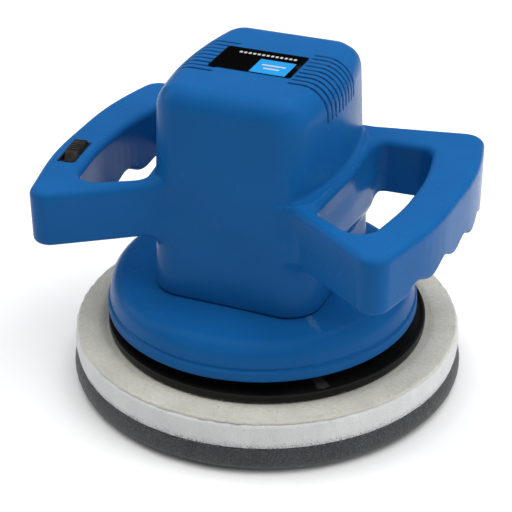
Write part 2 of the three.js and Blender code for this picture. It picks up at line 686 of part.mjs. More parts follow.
// One brush with its brass box and spring, on the +X side (-1 for the other).
function brushGear(side, name) {
  const inner = COMMUTATOR_R + 2;
  const outer = CAN_R - CAN_WALL - 1.5;
  const box = cut(block(inner, outer, -4.5, 4.5, BRUSH_Z - 5.5, BRUSH_Z + 5.5),
    block(inner - OVER, outer - 1.2, -3.3, 3.3, BRUSH_Z - 4.3, BRUSH_Z + 4.3));
  const stub = block(inner + 3, outer - 3, -3, 3, BRUSH_Z + 5.4, CAN_TOP_Z);
  const brush = block(COMMUTATOR_R + 0.25, 22, -3, 3, BRUSH_Z - 4, BRUSH_Z + 4);
  const turns = 3;
  const helix = new THREE.CatmullRomCurve3(repeat(turns * 8 + 1, (i) => new THREE.Vector3(
    THREE.MathUtils.lerp(22.9, outer - 2.2, i / (turns * 8)),
    2.2 * Math.cos(i * Math.PI / 4), BRUSH_Z + 2.2 * Math.sin(i * Math.PI / 4))));
  const spring = wire(helix, 0.45, turns * 8, 5);
  const face = (body) => (side > 0 ? body : body.rotate([0, 0, 180]));
  return [
    part(`brush_holder_${name}`, face(join(box, stub)), BRASS),
    part(`carbon_brush_${name}`, face(brush), CARBON),
    part(`brush_spring_${name}`, face(spring), STEEL),
  ];
}

function wire(curve, radius, steps, sides = 6) {
  const section = new THREE.Shape(repeat(sides, (i) => new THREE.Vector2(
    radius * Math.cos(i * 2 * Math.PI / sides), radius * Math.sin(i * 2 * Math.PI / sides))));
  return toSolid(new THREE.ExtrudeGeometry(section, { steps, extrudePath: curve }));
}

function lead(name, radius, look, route) {
  const curve = new THREE.CatmullRomCurve3(route.map((p) => new THREE.Vector3(...p)));
  return part(name, wire(curve, radius, route.length * 3), look);
}

// =============================================================================
// Bearings
// =============================================================================

// The outer ring carries the shields; the inner ring turns inside them.
function bearingRings(bearing, z) {
  const { bore, outer, width } = bearing;
  const shield = bore + (outer - bore) * 0.38;
  const race = bore + (outer - bore) * 0.68;
  const outerRing = turned([
    [shield + RUN, z], [outer, z], [outer, z + width], [shield + RUN, z + width],
    [shield + RUN, z + width - 0.8], [race, z + width - 0.8], [race, z + 0.8], [shield + RUN, z + 0.8],
  ], 24);
  return [outerRing, tube(bore + 0.1, shield, z, z + width, 20)];
}

// =============================================================================
// Rotor
// =============================================================================

function motorShaft() {
  const step = MOUNT_Z + 1;
  const top = UPPER_BEARING_Z + UPPER_BEARING.width - 0.5;
  return turned([
    [0, SHAFT_BOTTOM_Z], [SHAFT_R - 0.8, SHAFT_BOTTOM_Z], [SHAFT_R, SHAFT_BOTTOM_Z + 0.8],
    [SHAFT_R, step], [SHAFT_TOP_R, step], [SHAFT_TOP_R, top], [0, top],
  ], 24);
}

const coreSlots = (width, depth, z0, z1) => onRing(CORE_SLOTS, 0).map(({ angle }) => block(
  CORE_R - depth, CORE_R + OVER, -width / 2, width / 2, z0, z1)
  .rotate([0, 0, THREE.MathUtils.radToDeg(angle)]));

function armatureCore() {
  const body = tube(SHAFT_TOP_R + 0.1, CORE_R, CORE_Z, CORE_Z + CORE_H, 32);
  return cut(body, ...coreSlots(SLOT_W, SLOT_DEPTH, CORE_Z - OVER, CORE_Z + CORE_H + OVER));
}

// End turns above and below the core, joined by the bars that lie in its slots.
function armatureWinding() {
  const ring = (z0, z1) => tube(SHAFT_TOP_R + 4, CORE_R - 3, z0, z1, 24);
  const low = CORE_Z - GAP - COIL_H;
  const high = CORE_Z + CORE_H + GAP;
  const bars = onRing(CORE_SLOTS, 0).map(({ angle }) => block(
    CORE_R - SLOT_DEPTH + GAP, CORE_R - 3.5, -SLOT_W / 2 + GAP, SLOT_W / 2 - GAP, low + 1, high + 1)
    .rotate([0, 0, THREE.MathUtils.radToDeg(angle)]));
  return join(ring(low, CORE_Z - GAP), ring(high, high + COIL_H), ...bars);
}

function coolingFan() {
  const hub = tube(SHAFT_R + 0.1, 12, FAN_Z, FAN_Z + FAN_H, 24);
  const disc = tube(10, FAN_R, FAN_Z, FAN_Z + 1.8, 36);
  const blades = onRing(FAN_BLADES, 0).map(({ angle }) => block(
    11, FAN_R - 1, -0.8, 0.8, FAN_Z + 1, FAN_Z + FAN_H)
    .rotate([0, 0, THREE.MathUtils.radToDeg(angle)]));
  return join(hub, disc, ...blades);
}

// The counterweight clamped to the shaft, with the offset pin that drives the pad.
function eccentricHub() {
  const hub = rod(12, ECCENTRIC_Z, ECCENTRIC_TOP, 28);
  const pin = at(rod(PAD_BEARING.bore, PAD_BEARING_Z, ECCENTRIC_Z + 1, 24), THROW, 0);
  const collar = at(rod(PAD_BEARING.bore + 2, ECCENTRIC_Z - 1.2, ECCENTRIC_Z + 1, 24), THROW, 0);
  const steps = 14;
  const spread = 1.25;
  const rim = repeat(steps + 1, (i) => {
    const angle = Math.PI - spread + 2 * spread * i / steps;
    return new THREE.Vector2(WEIGHT_R * Math.cos(angle), WEIGHT_R * Math.sin(angle));
  });
  const weight = prism([new THREE.Vector2(0, 8), ...rim, new THREE.Vector2(0, -8)],
    ECCENTRIC_Z, ECCENTRIC_Z + 6);
  const bore = rod(SHAFT_R + 0.1, SHAFT_BOTTOM_Z - GAP, ECCENTRIC_TOP + OVER);
  const thread = at(rod(CENTRE_SCREW.shank + GAP, PAD_BEARING_Z - OVER, ECCENTRIC_Z - 0.5, 12), THROW, 0);
  return cut(join(hub, pin, collar, weight), bore, thread);
}

function commutator() {
  const body = tube(SHAFT_TOP_R + 0.1, COMMUTATOR_R, COMMUTATOR_Z, COMMUTATOR_Z + COMMUTATOR_H, 32);
  const grooves = onRing(CORE_SLOTS, 0, Math.PI / CORE_SLOTS).map(({ angle }) => block(
    COMMUTATOR_R - 1, COMMUTATOR_R + 1, -0.3, 0.3, COMMUTATOR_Z + 1.5, COMMUTATOR_Z + 20)
    .rotate([0, 0, THREE.MathUtils.radToDeg(angle)]));
  return cut(body, ...grooves);
}

// =============================================================================
// Pad (in its own frame, whose Z axis is the pad axis)
// =============================================================================

function padHub() {
  const seat = PAD_BEARING.outer + GAP;
  const top = PAD_BEARING_Z + PAD_BEARING.width + 0.3;
  const hub = turned([
    [PLATE_BORE_R - 2, HUB_Z], [HUB_FLANGE_R, HUB_Z], [HUB_FLANGE_R, HUB_Z + HUB_FLANGE_T],
    [seat + HUB_WALL, HUB_Z + HUB_FLANGE_T], [seat + HUB_WALL, top], [seat, top],
    [seat, PAD_BEARING_Z - GAP], [PLATE_BORE_R - 2, PAD_BEARING_Z - GAP],
  ], 32);
  return cut(hub, ...onRing(HUB_SCREWS, HUB_SCREW_RING).map(({ x, y }) => at(
    rod(HUB_SCREW.shank + GAP, HUB_Z - OVER, HUB_Z + OVER, 8), x, y)));
}

function backingPlate() {
  const inner = PLATE_R - PLATE_RIM_W;
  const top = PLATE_Z + PLATE_T;
  const plate = turned([
    [PLATE_BORE_R, PLATE_Z], [inner - 1, PLATE_Z], [inner, HOOK_Z + 0.2], [PLATE_R - 0.6, HOOK_Z + 0.2],
    [PLATE_R, HOOK_Z + 0.8], [PLATE_R, top + PLATE_RIM_H - 0.6], [PLATE_R - 0.6, top + PLATE_RIM_H],
    [inner, top + PLATE_RIM_H], [inner - 0.8, top], [PLATE_BORE_R, top],
  ], 44);
  return cut(plate, ...onRing(HUB_SCREWS, HUB_SCREW_RING).map(({ x, y }) => at(
    rod(HUB_SCREW.shank + GAP, PLATE_Z - OVER, PLATE_Z + OVER, 8), x, y)));
}

// A foam or fleece layer that is dished where the plate presses on it.
function padLayer(z, height, dishBelow, dishAbove, edge) {
  const inner = PLATE_R + 1.5;
  const ramp = inner + 3;
  return turned([
    [0, z - dishBelow], [inner, z - dishBelow], [ramp, z], [PAD_R - edge, z],
    [PAD_R - edge * 0.3, z + edge * 0.3], [PAD_R, z + edge],
    [PAD_R, z + height], [ramp, z + height], [inner, z + height - dishAbove],
    [0, z + height - dishAbove],
  ], 44);
}

// =============================================================================
// Switch (in its own frame: Y runs along the grip, Z = 0 is the deck surface)
// =============================================================================

function switchBezel() {
  const [w, l] = [RECESS_W / 2 - GAP, RECESS_L / 2];
  const tray = cut(block(-w, w, -l, l, -BEZEL_H, 0),
    block(-w + BEZEL_WALL, w - BEZEL_WALL, -l + BEZEL_WALL, l - BEZEL_WALL, -BEZEL_H + 1.2, OVER));
  return cut(tray, stemSlot(-BEZEL_H - OVER, 0));
}

const stemSlot = (z0, z1) => block(-STEM_W / 2 - GAP, STEM_W / 2 + GAP,
  STEM_Y - STEM_L / 2 - SWITCH_TRAVEL - 2 * GAP, STEM_Y + STEM_L / 2 + 2 * GAP, z0, z1);

function switchSlider() {
  const half = RECESS_W / 2 - GAP - BEZEL_WALL - GAP;
  const back = RECESS_L / 2 - BEZEL_WALL - GAP;
  const floor = -BEZEL_H + 1.2 + GAP;
  const top = floor + SLIDER_H;
  const outline = [
    new THREE.Vector2(back, floor), new THREE.Vector2(back, top - 0.6),
  ];
  const pitch = (SLIDER_TOP_L - 1) / SLIDER_RIBS;
  repeat(SLIDER_RIBS, (i) => {
    const y = back - 0.5 - i * pitch;
    outline.push(new THREE.Vector2(y, top), new THREE.Vector2(y - pitch * 0.45, top));
    outline.push(new THREE.Vector2(y - pitch * 0.6, top - 0.8));
    outline.push(new THREE.Vector2(y - pitch * 0.9, top - 0.8));
  });
  outline.push(new THREE.Vector2(back - SLIDER_TOP_L, top - 0.2));
  outline.push(new THREE.Vector2(back - SLIDER_BASE_L, floor));
  const cap = sideways(outline.reverse(), -half, half);
  const stem = block(-STEM_W / 2, STEM_W / 2, STEM_Y - STEM_L / 2, STEM_Y + STEM_L / 2,
    -BEZEL_H - 4, floor + 1);
  return join(cap, stem);
}

function switchBody() {
  const top = -BEZEL_H - 1;
  const body = block(-7, 7, -14, 16, top - 14, top);
  return cut(body, stemSlot(top - 5, top + 1));
}

// =============================================================================
// Assembly
// =============================================================================

const group = new THREE.Group();
group.name = 'polisher';

const housing = new THREE.Group();
housing.name = 'housing';
const rotor = new THREE.Group();
rotor.name = 'rotor';
const pad = new THREE.Group();
pad.name = 'pad';
pad.position.x = THROW;
const gripSwitch = new THREE.Group();
gripSwitch.name = 'grip_switch';
gripSwitch.position.set(SWITCH_AT.x, SWITCH_AT.y, DECK_Z);
gripSwitch.rotation.z = SWITCH_AT.turn;
group.add(housing, rotor, pad, gripSwitch);

const [lowerOuter, lowerInner] = bearingRings(LOWER_BEARING, LOWER_BEARING_Z);
const [upperOuter, upperInner] = bearingRings(UPPER_BEARING, UPPER_BEARING_Z);
const [padOuter, padInner] = bearingRings(PAD_BEARING, PAD_BEARING_Z);
const clipZ = LOWER_BEARING_Z + LOWER_BEARING.width + GAP;

housing.add(
  part('upper_housing', upperHousing(), BLUE),
  part('base_housing', baseHousing(), BLUE),
  part('grip_cover_left', gripCover(-1), BLUE),
  part('grip_cover_right', gripCover(1), BLUE),
  labelPlate(),
  inletGland(),
  part('motor_mount_plate', mountPlate(), STEEL),
  part('motor_can', motorCan(), DARK_STEEL),
  part('motor_end_cap', endCap(), BLACK),
  part('magnet_left', magnet(-1), FERRITE),
  part('magnet_right', magnet(1), FERRITE),
  part('upper_bearing_outer', upperOuter, STEEL),
  part('lower_bearing_outer', lowerOuter, STEEL),
  part('bearing_clip', tube(LOWER_BEARING.outer - 2, LOWER_BEARING.outer, clipZ, clipZ + 1.2, 20), DARK_STEEL),
  ...brushGear(-1, 'left'),
  ...brushGear(1, 'right'),
  ...electronics(),
);
['front', 'rear'].forEach((name, i) => {
  const y = i ? BOLT_Y : -BOLT_Y;
  housing.add(screw(`motor_bolt_${name}`, BOLT, [0, y, CAP_Z + CAP_T + GAP]));
});
cornersOf(BOSS_X, BOSS_Y).forEach(([x, y], i) => {
  housing.add(screw(`housing_screw_${i + 1}`, HOUSING_SCREW, [x, y, WEB_Z + 1.2 - GAP], true));
});
cornersOf(POST_X, POST_Y).forEach(([x, y], i) => {
  housing.add(screw(`mount_screw_${i + 1}`, MOUNT_SCREW, [x, y, MOUNT_Z + MOUNT_T + GAP]));
});
[['left', -1], ['right', 1]].forEach(([name, side]) => {
  const [x, y] = COVER_SCREW_AT;
  housing.add(screw(`cover_screw_${name}`, COVER_SCREW, [side * x, y, coverSeat()], true));
});
const capTop = CAP_Z + CAP_T;
const tail = BOARD_Z - 1.7; // where the leads end under the board
housing.add(
  lead('switch_lead', 1.4, WIRE_GREY, [
    [-110, -10, DECK_Z - 14.5], [-111, 10, DECK_Z - 16.5], [-108, 40, DECK_Z - 18.5],
    [-98, 62, DECK_Z - 18.5], [-70, 64, DECK_Z - 18.5], [-50, 64, DECK_Z - 18.5],
    [-39, 53, DECK_Z - 16.5], [-35, 41, DECK_Z], [-34, 37, capTop + 1], [-28, 35, tail - 2.3],
    [-14, 24, tail],
  ]),
  lead('motor_lead', 1.2, WIRE_RED, [
    [14, 24, tail], [16, 32, tail - 3.3], [20, 34, (tail + capTop) / 2], [22, 30, capTop + 2.7],
    [22, 22, capTop + 1.3],
  ]),
);

rotor.add(
  part('motor_shaft', motorShaft(), STEEL),
  part('armature_core', armatureCore(), DARK_STEEL),
  part('armature_winding', armatureWinding(), COPPER),
  part('commutator', commutator(), COPPER),
  part('cooling_fan', coolingFan(), BLACK),
  part('eccentric_hub', eccentricHub(), DARK_STEEL),
  part('lower_bearing_inner', lowerInner, STEEL),
  part('upper_bearing_inner', upperInner, STEEL),
  part('pad_bearing_inner', at(padInner, THROW, 0), STEEL),
  screw('centre_screw', CENTRE_SCREW, [THROW, 0, PAD_BEARING_Z - GAP - 0.1], true),
);

pad.add(
  part('pad_bearing_outer', padOuter, STEEL),
  part('pad_hub', padHub(), ALUMINIUM),
  part('backing_plate', backingPlate(), BLACK),
  part('hook_disc', tube(PLATE_BORE_R, PLATE_R - PLATE_RIM_W - 1.5, HOOK_Z, HOOK_Z + HOOK_T, 36), CARBON),
  part('pad_fleece', padLayer(FLEECE_Z, FLEECE_H, PAD_DISH, PAD_DISH, 0.4), FLEECE),
  part('pad_foam_white', padLayer(WHITE_Z, WHITE_FOAM_H, 0, PAD_DISH, 0.4), WHITE_FOAM),
  part('pad_foam_dark', padLayer(0, DARK_FOAM_H, 0, 0, PAD_EDGE_R), DARK_FOAM),
);
onRing(HUB_SCREWS, HUB_SCREW_RING).forEach(({ x, y }, i) => {
  pad.add(screw(`hub_screw_${i + 1}`, HUB_SCREW, [x, y, HUB_Z + HUB_FLANGE_T + GAP]));
});

gripSwitch.add(
  part('switch_bezel', switchBezel(), BLACK),
  part('switch_body', switchBody(), BLACK),
  part('switch_slider', switchSlider(), BLACK),
);

export default group;
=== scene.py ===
"""Orbital car polisher: the visual model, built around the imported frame.

Working sizes are in millimetres, in the row frame (+Z up, -Y the front, origin under the
motor axis in the plane of the pad's working face). Meshes are written in metres.
"""
import json
import math

import bpy
import numpy as np
from mathutils import Matrix, Vector


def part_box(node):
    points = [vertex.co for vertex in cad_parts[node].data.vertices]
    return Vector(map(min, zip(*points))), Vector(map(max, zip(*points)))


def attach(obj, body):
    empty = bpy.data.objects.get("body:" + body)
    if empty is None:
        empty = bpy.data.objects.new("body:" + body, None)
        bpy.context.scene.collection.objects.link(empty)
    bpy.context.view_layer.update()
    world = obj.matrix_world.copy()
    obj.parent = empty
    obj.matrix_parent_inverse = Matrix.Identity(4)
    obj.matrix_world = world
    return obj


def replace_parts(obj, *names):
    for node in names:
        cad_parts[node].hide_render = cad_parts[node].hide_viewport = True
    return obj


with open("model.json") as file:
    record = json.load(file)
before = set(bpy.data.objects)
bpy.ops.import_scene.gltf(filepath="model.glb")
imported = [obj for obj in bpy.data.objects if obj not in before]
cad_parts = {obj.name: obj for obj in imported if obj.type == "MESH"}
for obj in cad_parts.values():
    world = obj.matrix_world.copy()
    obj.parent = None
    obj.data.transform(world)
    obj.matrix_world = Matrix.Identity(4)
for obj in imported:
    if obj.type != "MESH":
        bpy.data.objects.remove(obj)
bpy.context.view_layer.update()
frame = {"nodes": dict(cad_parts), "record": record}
RECORD = frame["record"]
NODES = frame["nodes"]
MM = 0.001


def node_box(name):
    """Lowest and highest corner of a CAD node, in millimetres."""
    low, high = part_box(name)
    return np.array(low) / MM, np.array(high) / MM


# ---- sizes read from the frame ------------------------------------------------
HOUSING_LOW, HOUSING_HIGH = node_box("upper_housing")
BASE_LOW, BASE_HIGH = node_box("base_housing")
PLATE_LOW, PLATE_HIGH = node_box("backing_plate")
DARK_LOW, DARK_HIGH = node_box("pad_foam_dark")
WHITE_LOW, WHITE_HIGH = node_box("pad_foam_white")
FLEECE_LOW, FLEECE_HIGH = node_box("pad_fleece")
GLAND_END_Y = node_box("cord_inlet_gland")[1][1]
SEAM_Z = HOUSING_LOW[2]
SKIRT_R = BASE_HIGH[0]
SKIRT_BOTTOM = BASE_LOW[2]
PLATE_R = (PLATE_HIGH[0] - PLATE_LOW[0]) / 2
PAD_X = (DARK_LOW[0] + DARK_HIGH[0]) / 2
PAD_R = (DARK_HIGH[0] - DARK_LOW[0]) / 2

# ---- housing sizes ------------------------------------------------------------
WALL = 3.0
GAP = 0.3
FOOT = (53.5, -57.0, 60.0)  # half width, front and back of the pedestal at the seam
WAIST = (52.0, -55.0, 60.0)  # of the pedestal at the height of the deck
PEDESTAL_CORNER_R = 22.0
TOWER_X = -2.0  # the tower stands a little towards the switch
TOWER_FOOT = (53.2, -55.0, 72.0)  # of the tower at the height of the deck
CROWN = (51.2, -51.0, 65.0)  # of the tower at the roof
TOWER_WIDEST_Y = 4.0
SIDE_BOW = 0.0026  # how fast the side walls come in away from there, per mm squared
TOWER_CORNER_R = 15.0
TOWER_DEPTH = 30.0  # how far the tower reaches down inside the deck
DECK_Z = 142.5
ROOF_Z = 202.4
ROOF_SLOPE = 0.022
SHOULDER_ROUND = 16.0
FRONT_ROUND, BACK_ROUND = 11.0, 19.0
DECK_ROUND = 4.5
ARM_LOWER_ROUND = 2.5
TOWER_FILLET = 4.5
ROOT_FILLET = 10.0
RIM_ROUND = 0.9
ARM_BOTTOM_Z = 106.0
ARM_BOTTOM_SLOPE = -0.09
ARM_FRONT_Z = 108.0
REAR_ARM_Z = 106.5
FINGER_PITCH = 34.0
FINGER_START_Y = -73.0
FINGER_DEPTH = 5.0
GRIP_X, GRIP_BLEND = 88.0, 4.0  # where the finger waves begin, and over what half width
REAR_ARM_START = (42.0, 52.0)  # y over which the rear arm's lower side takes its own height
WAVES_START, WAVES_END = (-68.0, -60.0), (63.0, 70.0)  # y over which the waves come and go
LEDGE_Y = 72.0
COVER_TOP_Z = 114.5
COVER_SCREW_X, COVER_SCREW_Y = 108.0, 62.0
COVER_SCREW_R, COVER_HEAD_R, COVER_SEAT_H = 1.8, 3.3, 6.0
VENTS = 9
VENT_PITCH = 5.2
VENT_W = 1.7
VENT_Y = -16.5
VENT_TOP_X = 24.0
VENT_DROP = 21.5
SCREW_X, SCREW_Y = 46.6, 15.0
SCREW_BOSS_R, SCREW_HOLE_R, SCREW_BOSS_H = 4.6, 2.3, 30.0
INLET_Z = 122.0
INLET_R = 8.0
SWITCH_X, SWITCH_Y, SWITCH_TURN = -109.3, -34.5, 0.14
RECESS_W, RECESS_L, RECESS_DEPTH = 11.0, 28.0, 4.0
SLIDER_HALF_W, SLIDER_H = 4.1, 6.2
SLIDER_END_GAP = 1.1  # from the slider to the far end of its recess
SLIDER_RIBS, SLIDER_RIBBED_L = 6, 15.0
POST_X, POST_Y = 35.0, 34.0  # the motor's posts on the base housing
POST_R, POST_HOLE_R = 5.0, 2.1
POST_TOP_Z, POST_HOLE_Z = 96.7, 84.0

# Half plan of the handle deck and of one finger opening: x, y, corner radius.
DECK_PLAN = [(-30, -46, 0), (30.4, -46, 2), (107, -99, 11), (123, -38, 200), (126, 38, 200),
             (114.5, 86, 13), (46, LEDGE_Y, 12), (-30, LEDGE_Y, 0)]
FINGER_OPENING = [(54.3, -50, 9), (90, -70.5, 11), (98, -25, 150), (98.5, 15, 150),
                  (91, 54, 10), (54.3, 52, 9), (56.6, 4, 150)]


# ---- outlines and meshes --------------------------------------------------------
def rounded(corners, step=math.radians(3), closed=True):
    """Points of an outline whose corners (x, y, radius) are rounded by arcs."""
    points = []
    count = len(corners)
    for i, (x, y, radius) in enumerate(corners):
        corner = np.array([x, y], float)
        if radius == 0 or (not closed and i in (0, count - 1)):
            points.append(corner)
            continue
        back = np.array(corners[i - 1][:2], float) - corner
        on = np.array(corners[(i + 1) % count][:2], float) - corner
        back /= np.linalg.norm(back)
        on /= np.linalg.norm(on)
        half = math.acos(np.clip(back @ on, -1, 1)) / 2
        middle = (back + on) / np.linalg.norm(back + on)
        centre = corner + middle * radius / math.sin(half)
        start = corner + back * radius / math.tan(half) - centre
        sweep = math.pi - 2 * half
        turn = -np.sign(back[0] * on[1] - back[1] * on[0])
        steps = max(2, math.ceil(sweep / step))
        for k in range(steps + 1):
            angle = turn * sweep * k / steps
            c, s = math.cos(angle), math.sin(angle)
            points.append(centre + (c * start[0] - s * start[1], s * start[0] + c * start[1]))
    return np.array(points)


def outline_distance(outline, x, y):
    """Signed distance of points to a closed outline, negative inside."""
    px, py = x.ravel(), y.ravel()
    best = np.full(px.shape, np.inf)
    inside = np.zeros(px.shape, bool)
    for (ax, ay), (bx, by) in zip(outline, np.roll(outline, -1, axis=0)):
        ex, ey = bx - ax, by - ay
        span = ex * ex + ey * ey
        if span < 1e-12:
            continue
        dx, dy = px - ax, py - ay
        t = np.clip((dx * ex + dy * ey) / span, 0, 1)
        best = np.minimum(best, (dx - t * ex) ** 2 + (dy - t * ey) ** 2)
        if ey != 0:
            inside ^= ((ay > py) != (by > py)) & (px < ex * dy / ey + ax)
    distance = np.sqrt(best)
    return np.where(inside, -distance, distance).reshape(x.shape)


def mesh_object(name, points, faces, smooth=True):
    """A mesh object from points in millimetres and an array or a list of faces."""
    mesh = bpy.data.meshes.new(name)
    points = np.asarray(points, float)
    if isinstance(faces, np.ndarray):
        count, sides = faces.shape
        mesh.vertices.add(len(points))
        mesh.vertices.foreach_set("co", (points * MM).astype(np.float32).ravel())
        mesh.loops.add(count * sides)
        mesh.loops.foreach_set("vertex_index", faces.astype(np.int32).ravel())
        mesh.polygons.add(count)
        mesh.polygons.foreach_set("loop_start", np.arange(0, count * sides, sides, dtype=np.int32))
        mesh.update(calc_edges=True)
    else:
        mesh.from_pydata([tuple(p) for p in points * MM], [], faces)
        mesh.update()
    mesh.validate()
    if smooth:
        mesh.shade_smooth()
    obj = bpy.data.objects.new(name, mesh)
    bpy.context.scene.collection.objects.link(obj)
    return obj


def sharpen(obj, degrees=35):
    """Marks edges above an angle as sharp, so that shading breaks there."""
    obj.data.set_sharp_from_angle(angle=math.radians(degrees))
    return obj


def modified(obj):
    """Applies the object's modifiers."""
    depsgraph = bpy.context.evaluated_depsgraph_get()
    mesh = bpy.data.meshes.new_from_object(obj.evaluated_get(depsgraph))
    obj.modifiers.clear()
    obj.data = mesh
    return obj


def bevelled(obj, width, segments=2, degrees=30):
    """Rounds the sharp edges by a width in millimetres."""
    bevel = obj.modifiers.new("edges", "BEVEL")
    bevel.width = width * MM
    bevel.segments = segments
    bevel.limit_method = "ANGLE"
    bevel.angle_limit = math.radians(degrees)
    bevel.harden_normals = True
    return modified(obj)


def rings_mesh(name, rings, closed=False, smooth=True):
    """Skins rings of equal length; a closed skin joins the last ring to the first."""
    rings = np.asarray(rings, float)
    layers, count = rings.shape[:2]
    faces = []
    for k in range(layers if closed else layers - 1):
        low, high = k * count, (k + 1) % layers * count
        for i in range(count):
            j = (i + 1) % count
            faces.append((low + i, low + j, high + j, high + i))
    if not closed:
        faces.append(tuple(range(count))[::-1])
        faces.append(tuple((layers - 1) * count + i for i in range(count)))
    return mesh_object(name, rings.reshape(-1, 3), faces, smooth)


def lathe(name, profile, segments=192, centre=(0, 0), ripple=None):
    """Turns a profile of (radius, z) about a vertical axis through centre.

    A profile from axis to axis is capped by its own ends, and any other one is a closed ring.
    ripple(angle, radius, z) returns the radius and z of a point.
    """
    profile = np.asarray(profile, float)
    on_axis = profile[0][0] < 1e-6 and profile[-1][0] < 1e-6
    angles = np.arange(segments) * 2 * math.pi / segments
    body = profile[1:-1] if on_axis else profile
    radius = np.repeat(body[:, :1], segments, axis=1)
    height = np.repeat(body[:, 1:], segments, axis=1)
    around = np.repeat(angles[None, :], len(body), axis=0)
    if ripple:
        radius, height = ripple(around, radius, height)
    points = np.stack([centre[0] + radius * np.cos(around), centre[1] + radius * np.sin(around),
                       height], axis=-1).reshape(-1, 3)
    k = np.arange(len(body) if not on_axis else len(body) - 1)[:, None]
    i = np.arange(segments)[None, :]
    j = (i + 1) % segments
    low, high = k * segments, (k + 1) % len(body) * segments
    quads = np.stack([low + i, low + j, high + j, high + i], axis=-1).reshape(-1, 4)
    faces = quads.tolist()
    if on_axis:
        bottom, top = len(points), len(points) + 1
        points = np.vstack([points, [[*centre, profile[0][1]], [*centre, profile[-1][1]]]])
        last = (len(body) - 1) * segments
        for a, b in zip(range(segments), np.roll(range(segments), -1).tolist()):
            faces.append((bottom, b, a))
            faces.append((top, last + a, last + b))
    return mesh_object(name, points, faces)


# ---- solids as distance fields ----------------------------------------------------
def round_max(a, b, radius):
    """The common part of two fields, with its edge rounded."""
    corner = np.hypot(np.maximum(a + radius, 0), np.maximum(b + radius, 0))
    return np.minimum(np.maximum(a, b), -radius) + corner


def round_min(a, b, radius):
    """Both fields joined, with a fillet between them."""
    corner = np.hypot(np.maximum(radius - a, 0), np.maximum(radius - b, 0))
    return np.maximum(np.minimum(a, b), radius) - corner


def smoothstep(low, high, value):
    t = np.clip((value - low) / (high - low), 0, 1)
    return t * t * (3 - 2 * t)


def surface_net(xs, ys, zs, field):
    """Points and quads of the field's zero surface on a rectilinear grid."""
    axes = (xs, ys, zs)
    inside = field < 0
    strides = np.array([(len(ys) - 1) * (len(zs) - 1), len(zs) - 1, 1])
    cells, spots = [], []
    flips = []
    for axis in range(3):
        low = [slice(None)] * 3
        high = [slice(None)] * 3
        low[axis], high[axis] = slice(None, -1), slice(1, None)
        at = np.argwhere(inside[tuple(low)] != inside[tuple(high)])
        step = np.zeros(3, int)
        step[axis] = 1
        start = field[tuple(at.T)]
        end = field[tuple((at + step).T)]
        t = start / (start - end)
        spot = np.stack([axes[k][at[:, k]] for k in range(3)], axis=1).astype(float)
        spot[:, axis] += t * (axes[axis][at[:, axis] + 1] - axes[axis][at[:, axis]])
        u, v = np.zeros(3, int), np.zeros(3, int)
        u[(axis + 1) % 3] = 1
        v[(axis + 2) % 3] = 1
        around = np.stack([at, at - u, at - u - v, at - v], axis=1)
        cells.append(around @ strides)
        spots.append(np.repeat(spot[:, None, :], 4, axis=1))
        flips.append(start > 0)
    cells, spots, flips = np.vstack(cells), np.vstack(spots), np.concatenate(flips)
    _, index = np.unique(cells.ravel(), return_inverse=True)
    index = index.ravel()
    weight = np.bincount(index)
    flat = spots.reshape(-1, 3)
    points = np.stack([np.bincount(index, flat[:, k]) / weight for k in range(3)], axis=1)
    quads = index.reshape(-1, 4)
    quads[flips] = quads[flips][:, ::-1]
    return points, quads


def slopes(field, points, reach):
    """The field's value and gradient at points."""
    value = field(points)
    gradient = np.empty_like(points)
    for k in range(3):
        step = np.zeros(3)
        step[k] = reach
        gradient[:, k] = (field(points + step) - field(points - step)) / (2 * reach)
    return value, gradient


def settle(field, points, reach=0.25, most=0.8):
    """Moves points onto the field's surface and returns them with their normals."""
    for _ in range(2):
        value, gradient = slopes(field, points, reach)
        size = np.maximum((gradient ** 2).sum(1), 0.2)
        move = -(value / size)[:, None] * gradient
        length = np.linalg.norm(move, axis=1, keepdims=True)
        points = points + move * np.minimum(1, most / np.maximum(length, 1e-9))
    _, gradient = slopes(field, points, reach * 1.6)
    normals = gradient / np.maximum(np.linalg.norm(gradient, axis=1, keepdims=True), 1e-9)
    return points, normals


def field_object(name, field, xs, ys, zs):
    """The solid of a field of points in millimetres."""
    grid = np.stack(np.meshgrid(xs, ys, zs, indexing="ij"), axis=-1)
    points, quads = surface_net(xs, ys, zs, field(grid))
    obj = mesh_object(name, points, quads)
    mesh = obj.data
    flat = np.empty(len(mesh.vertices) * 3, np.float32)
    mesh.vertices.foreach_get("co", flat)
    points, normals = settle(field, flat.reshape(-1, 3).astype(float) / MM)
    mesh.vertices.foreach_set("co", (points * MM).astype(np.float32).ravel())
    mesh.update()
    mesh.shade_smooth()
    mesh.normals_split_custom_set_from_vertices(normals.tolist())
    return obj


# ---- housing field --------------------------------------------------------------
DECK_OUTLINE = rounded(DECK_PLAN)
OPENING_OUTLINE = rounded(FINGER_OPENING)


def deck_side(points):
    """Distance to the handle deck's side walls, the outer one and the openings'."""
    x, y = np.abs(points[..., 0]), points[..., 1]
    if points.ndim == 4:  # a grid: its plan is the same at every height
        x, y = x[:, :, :1], y[:, :, :1]
    side = np.maximum(outline_distance(DECK_OUTLINE, x, y),
                      -outline_distance(OPENING_OUTLINE, x, y))
    return np.broadcast_to(side, points.shape[:-1])


def walls_distance(x, y, z, low, high, z0, z1):
    """Distances across and along to four walls that lean between two plans."""
    half, front, back = (np.interp(z, [z0, z1], [low[k], high[k]]) for k in range(3))
    return np.abs(x) - half, np.abs(y - (front + back) / 2) - (back - front) / 2


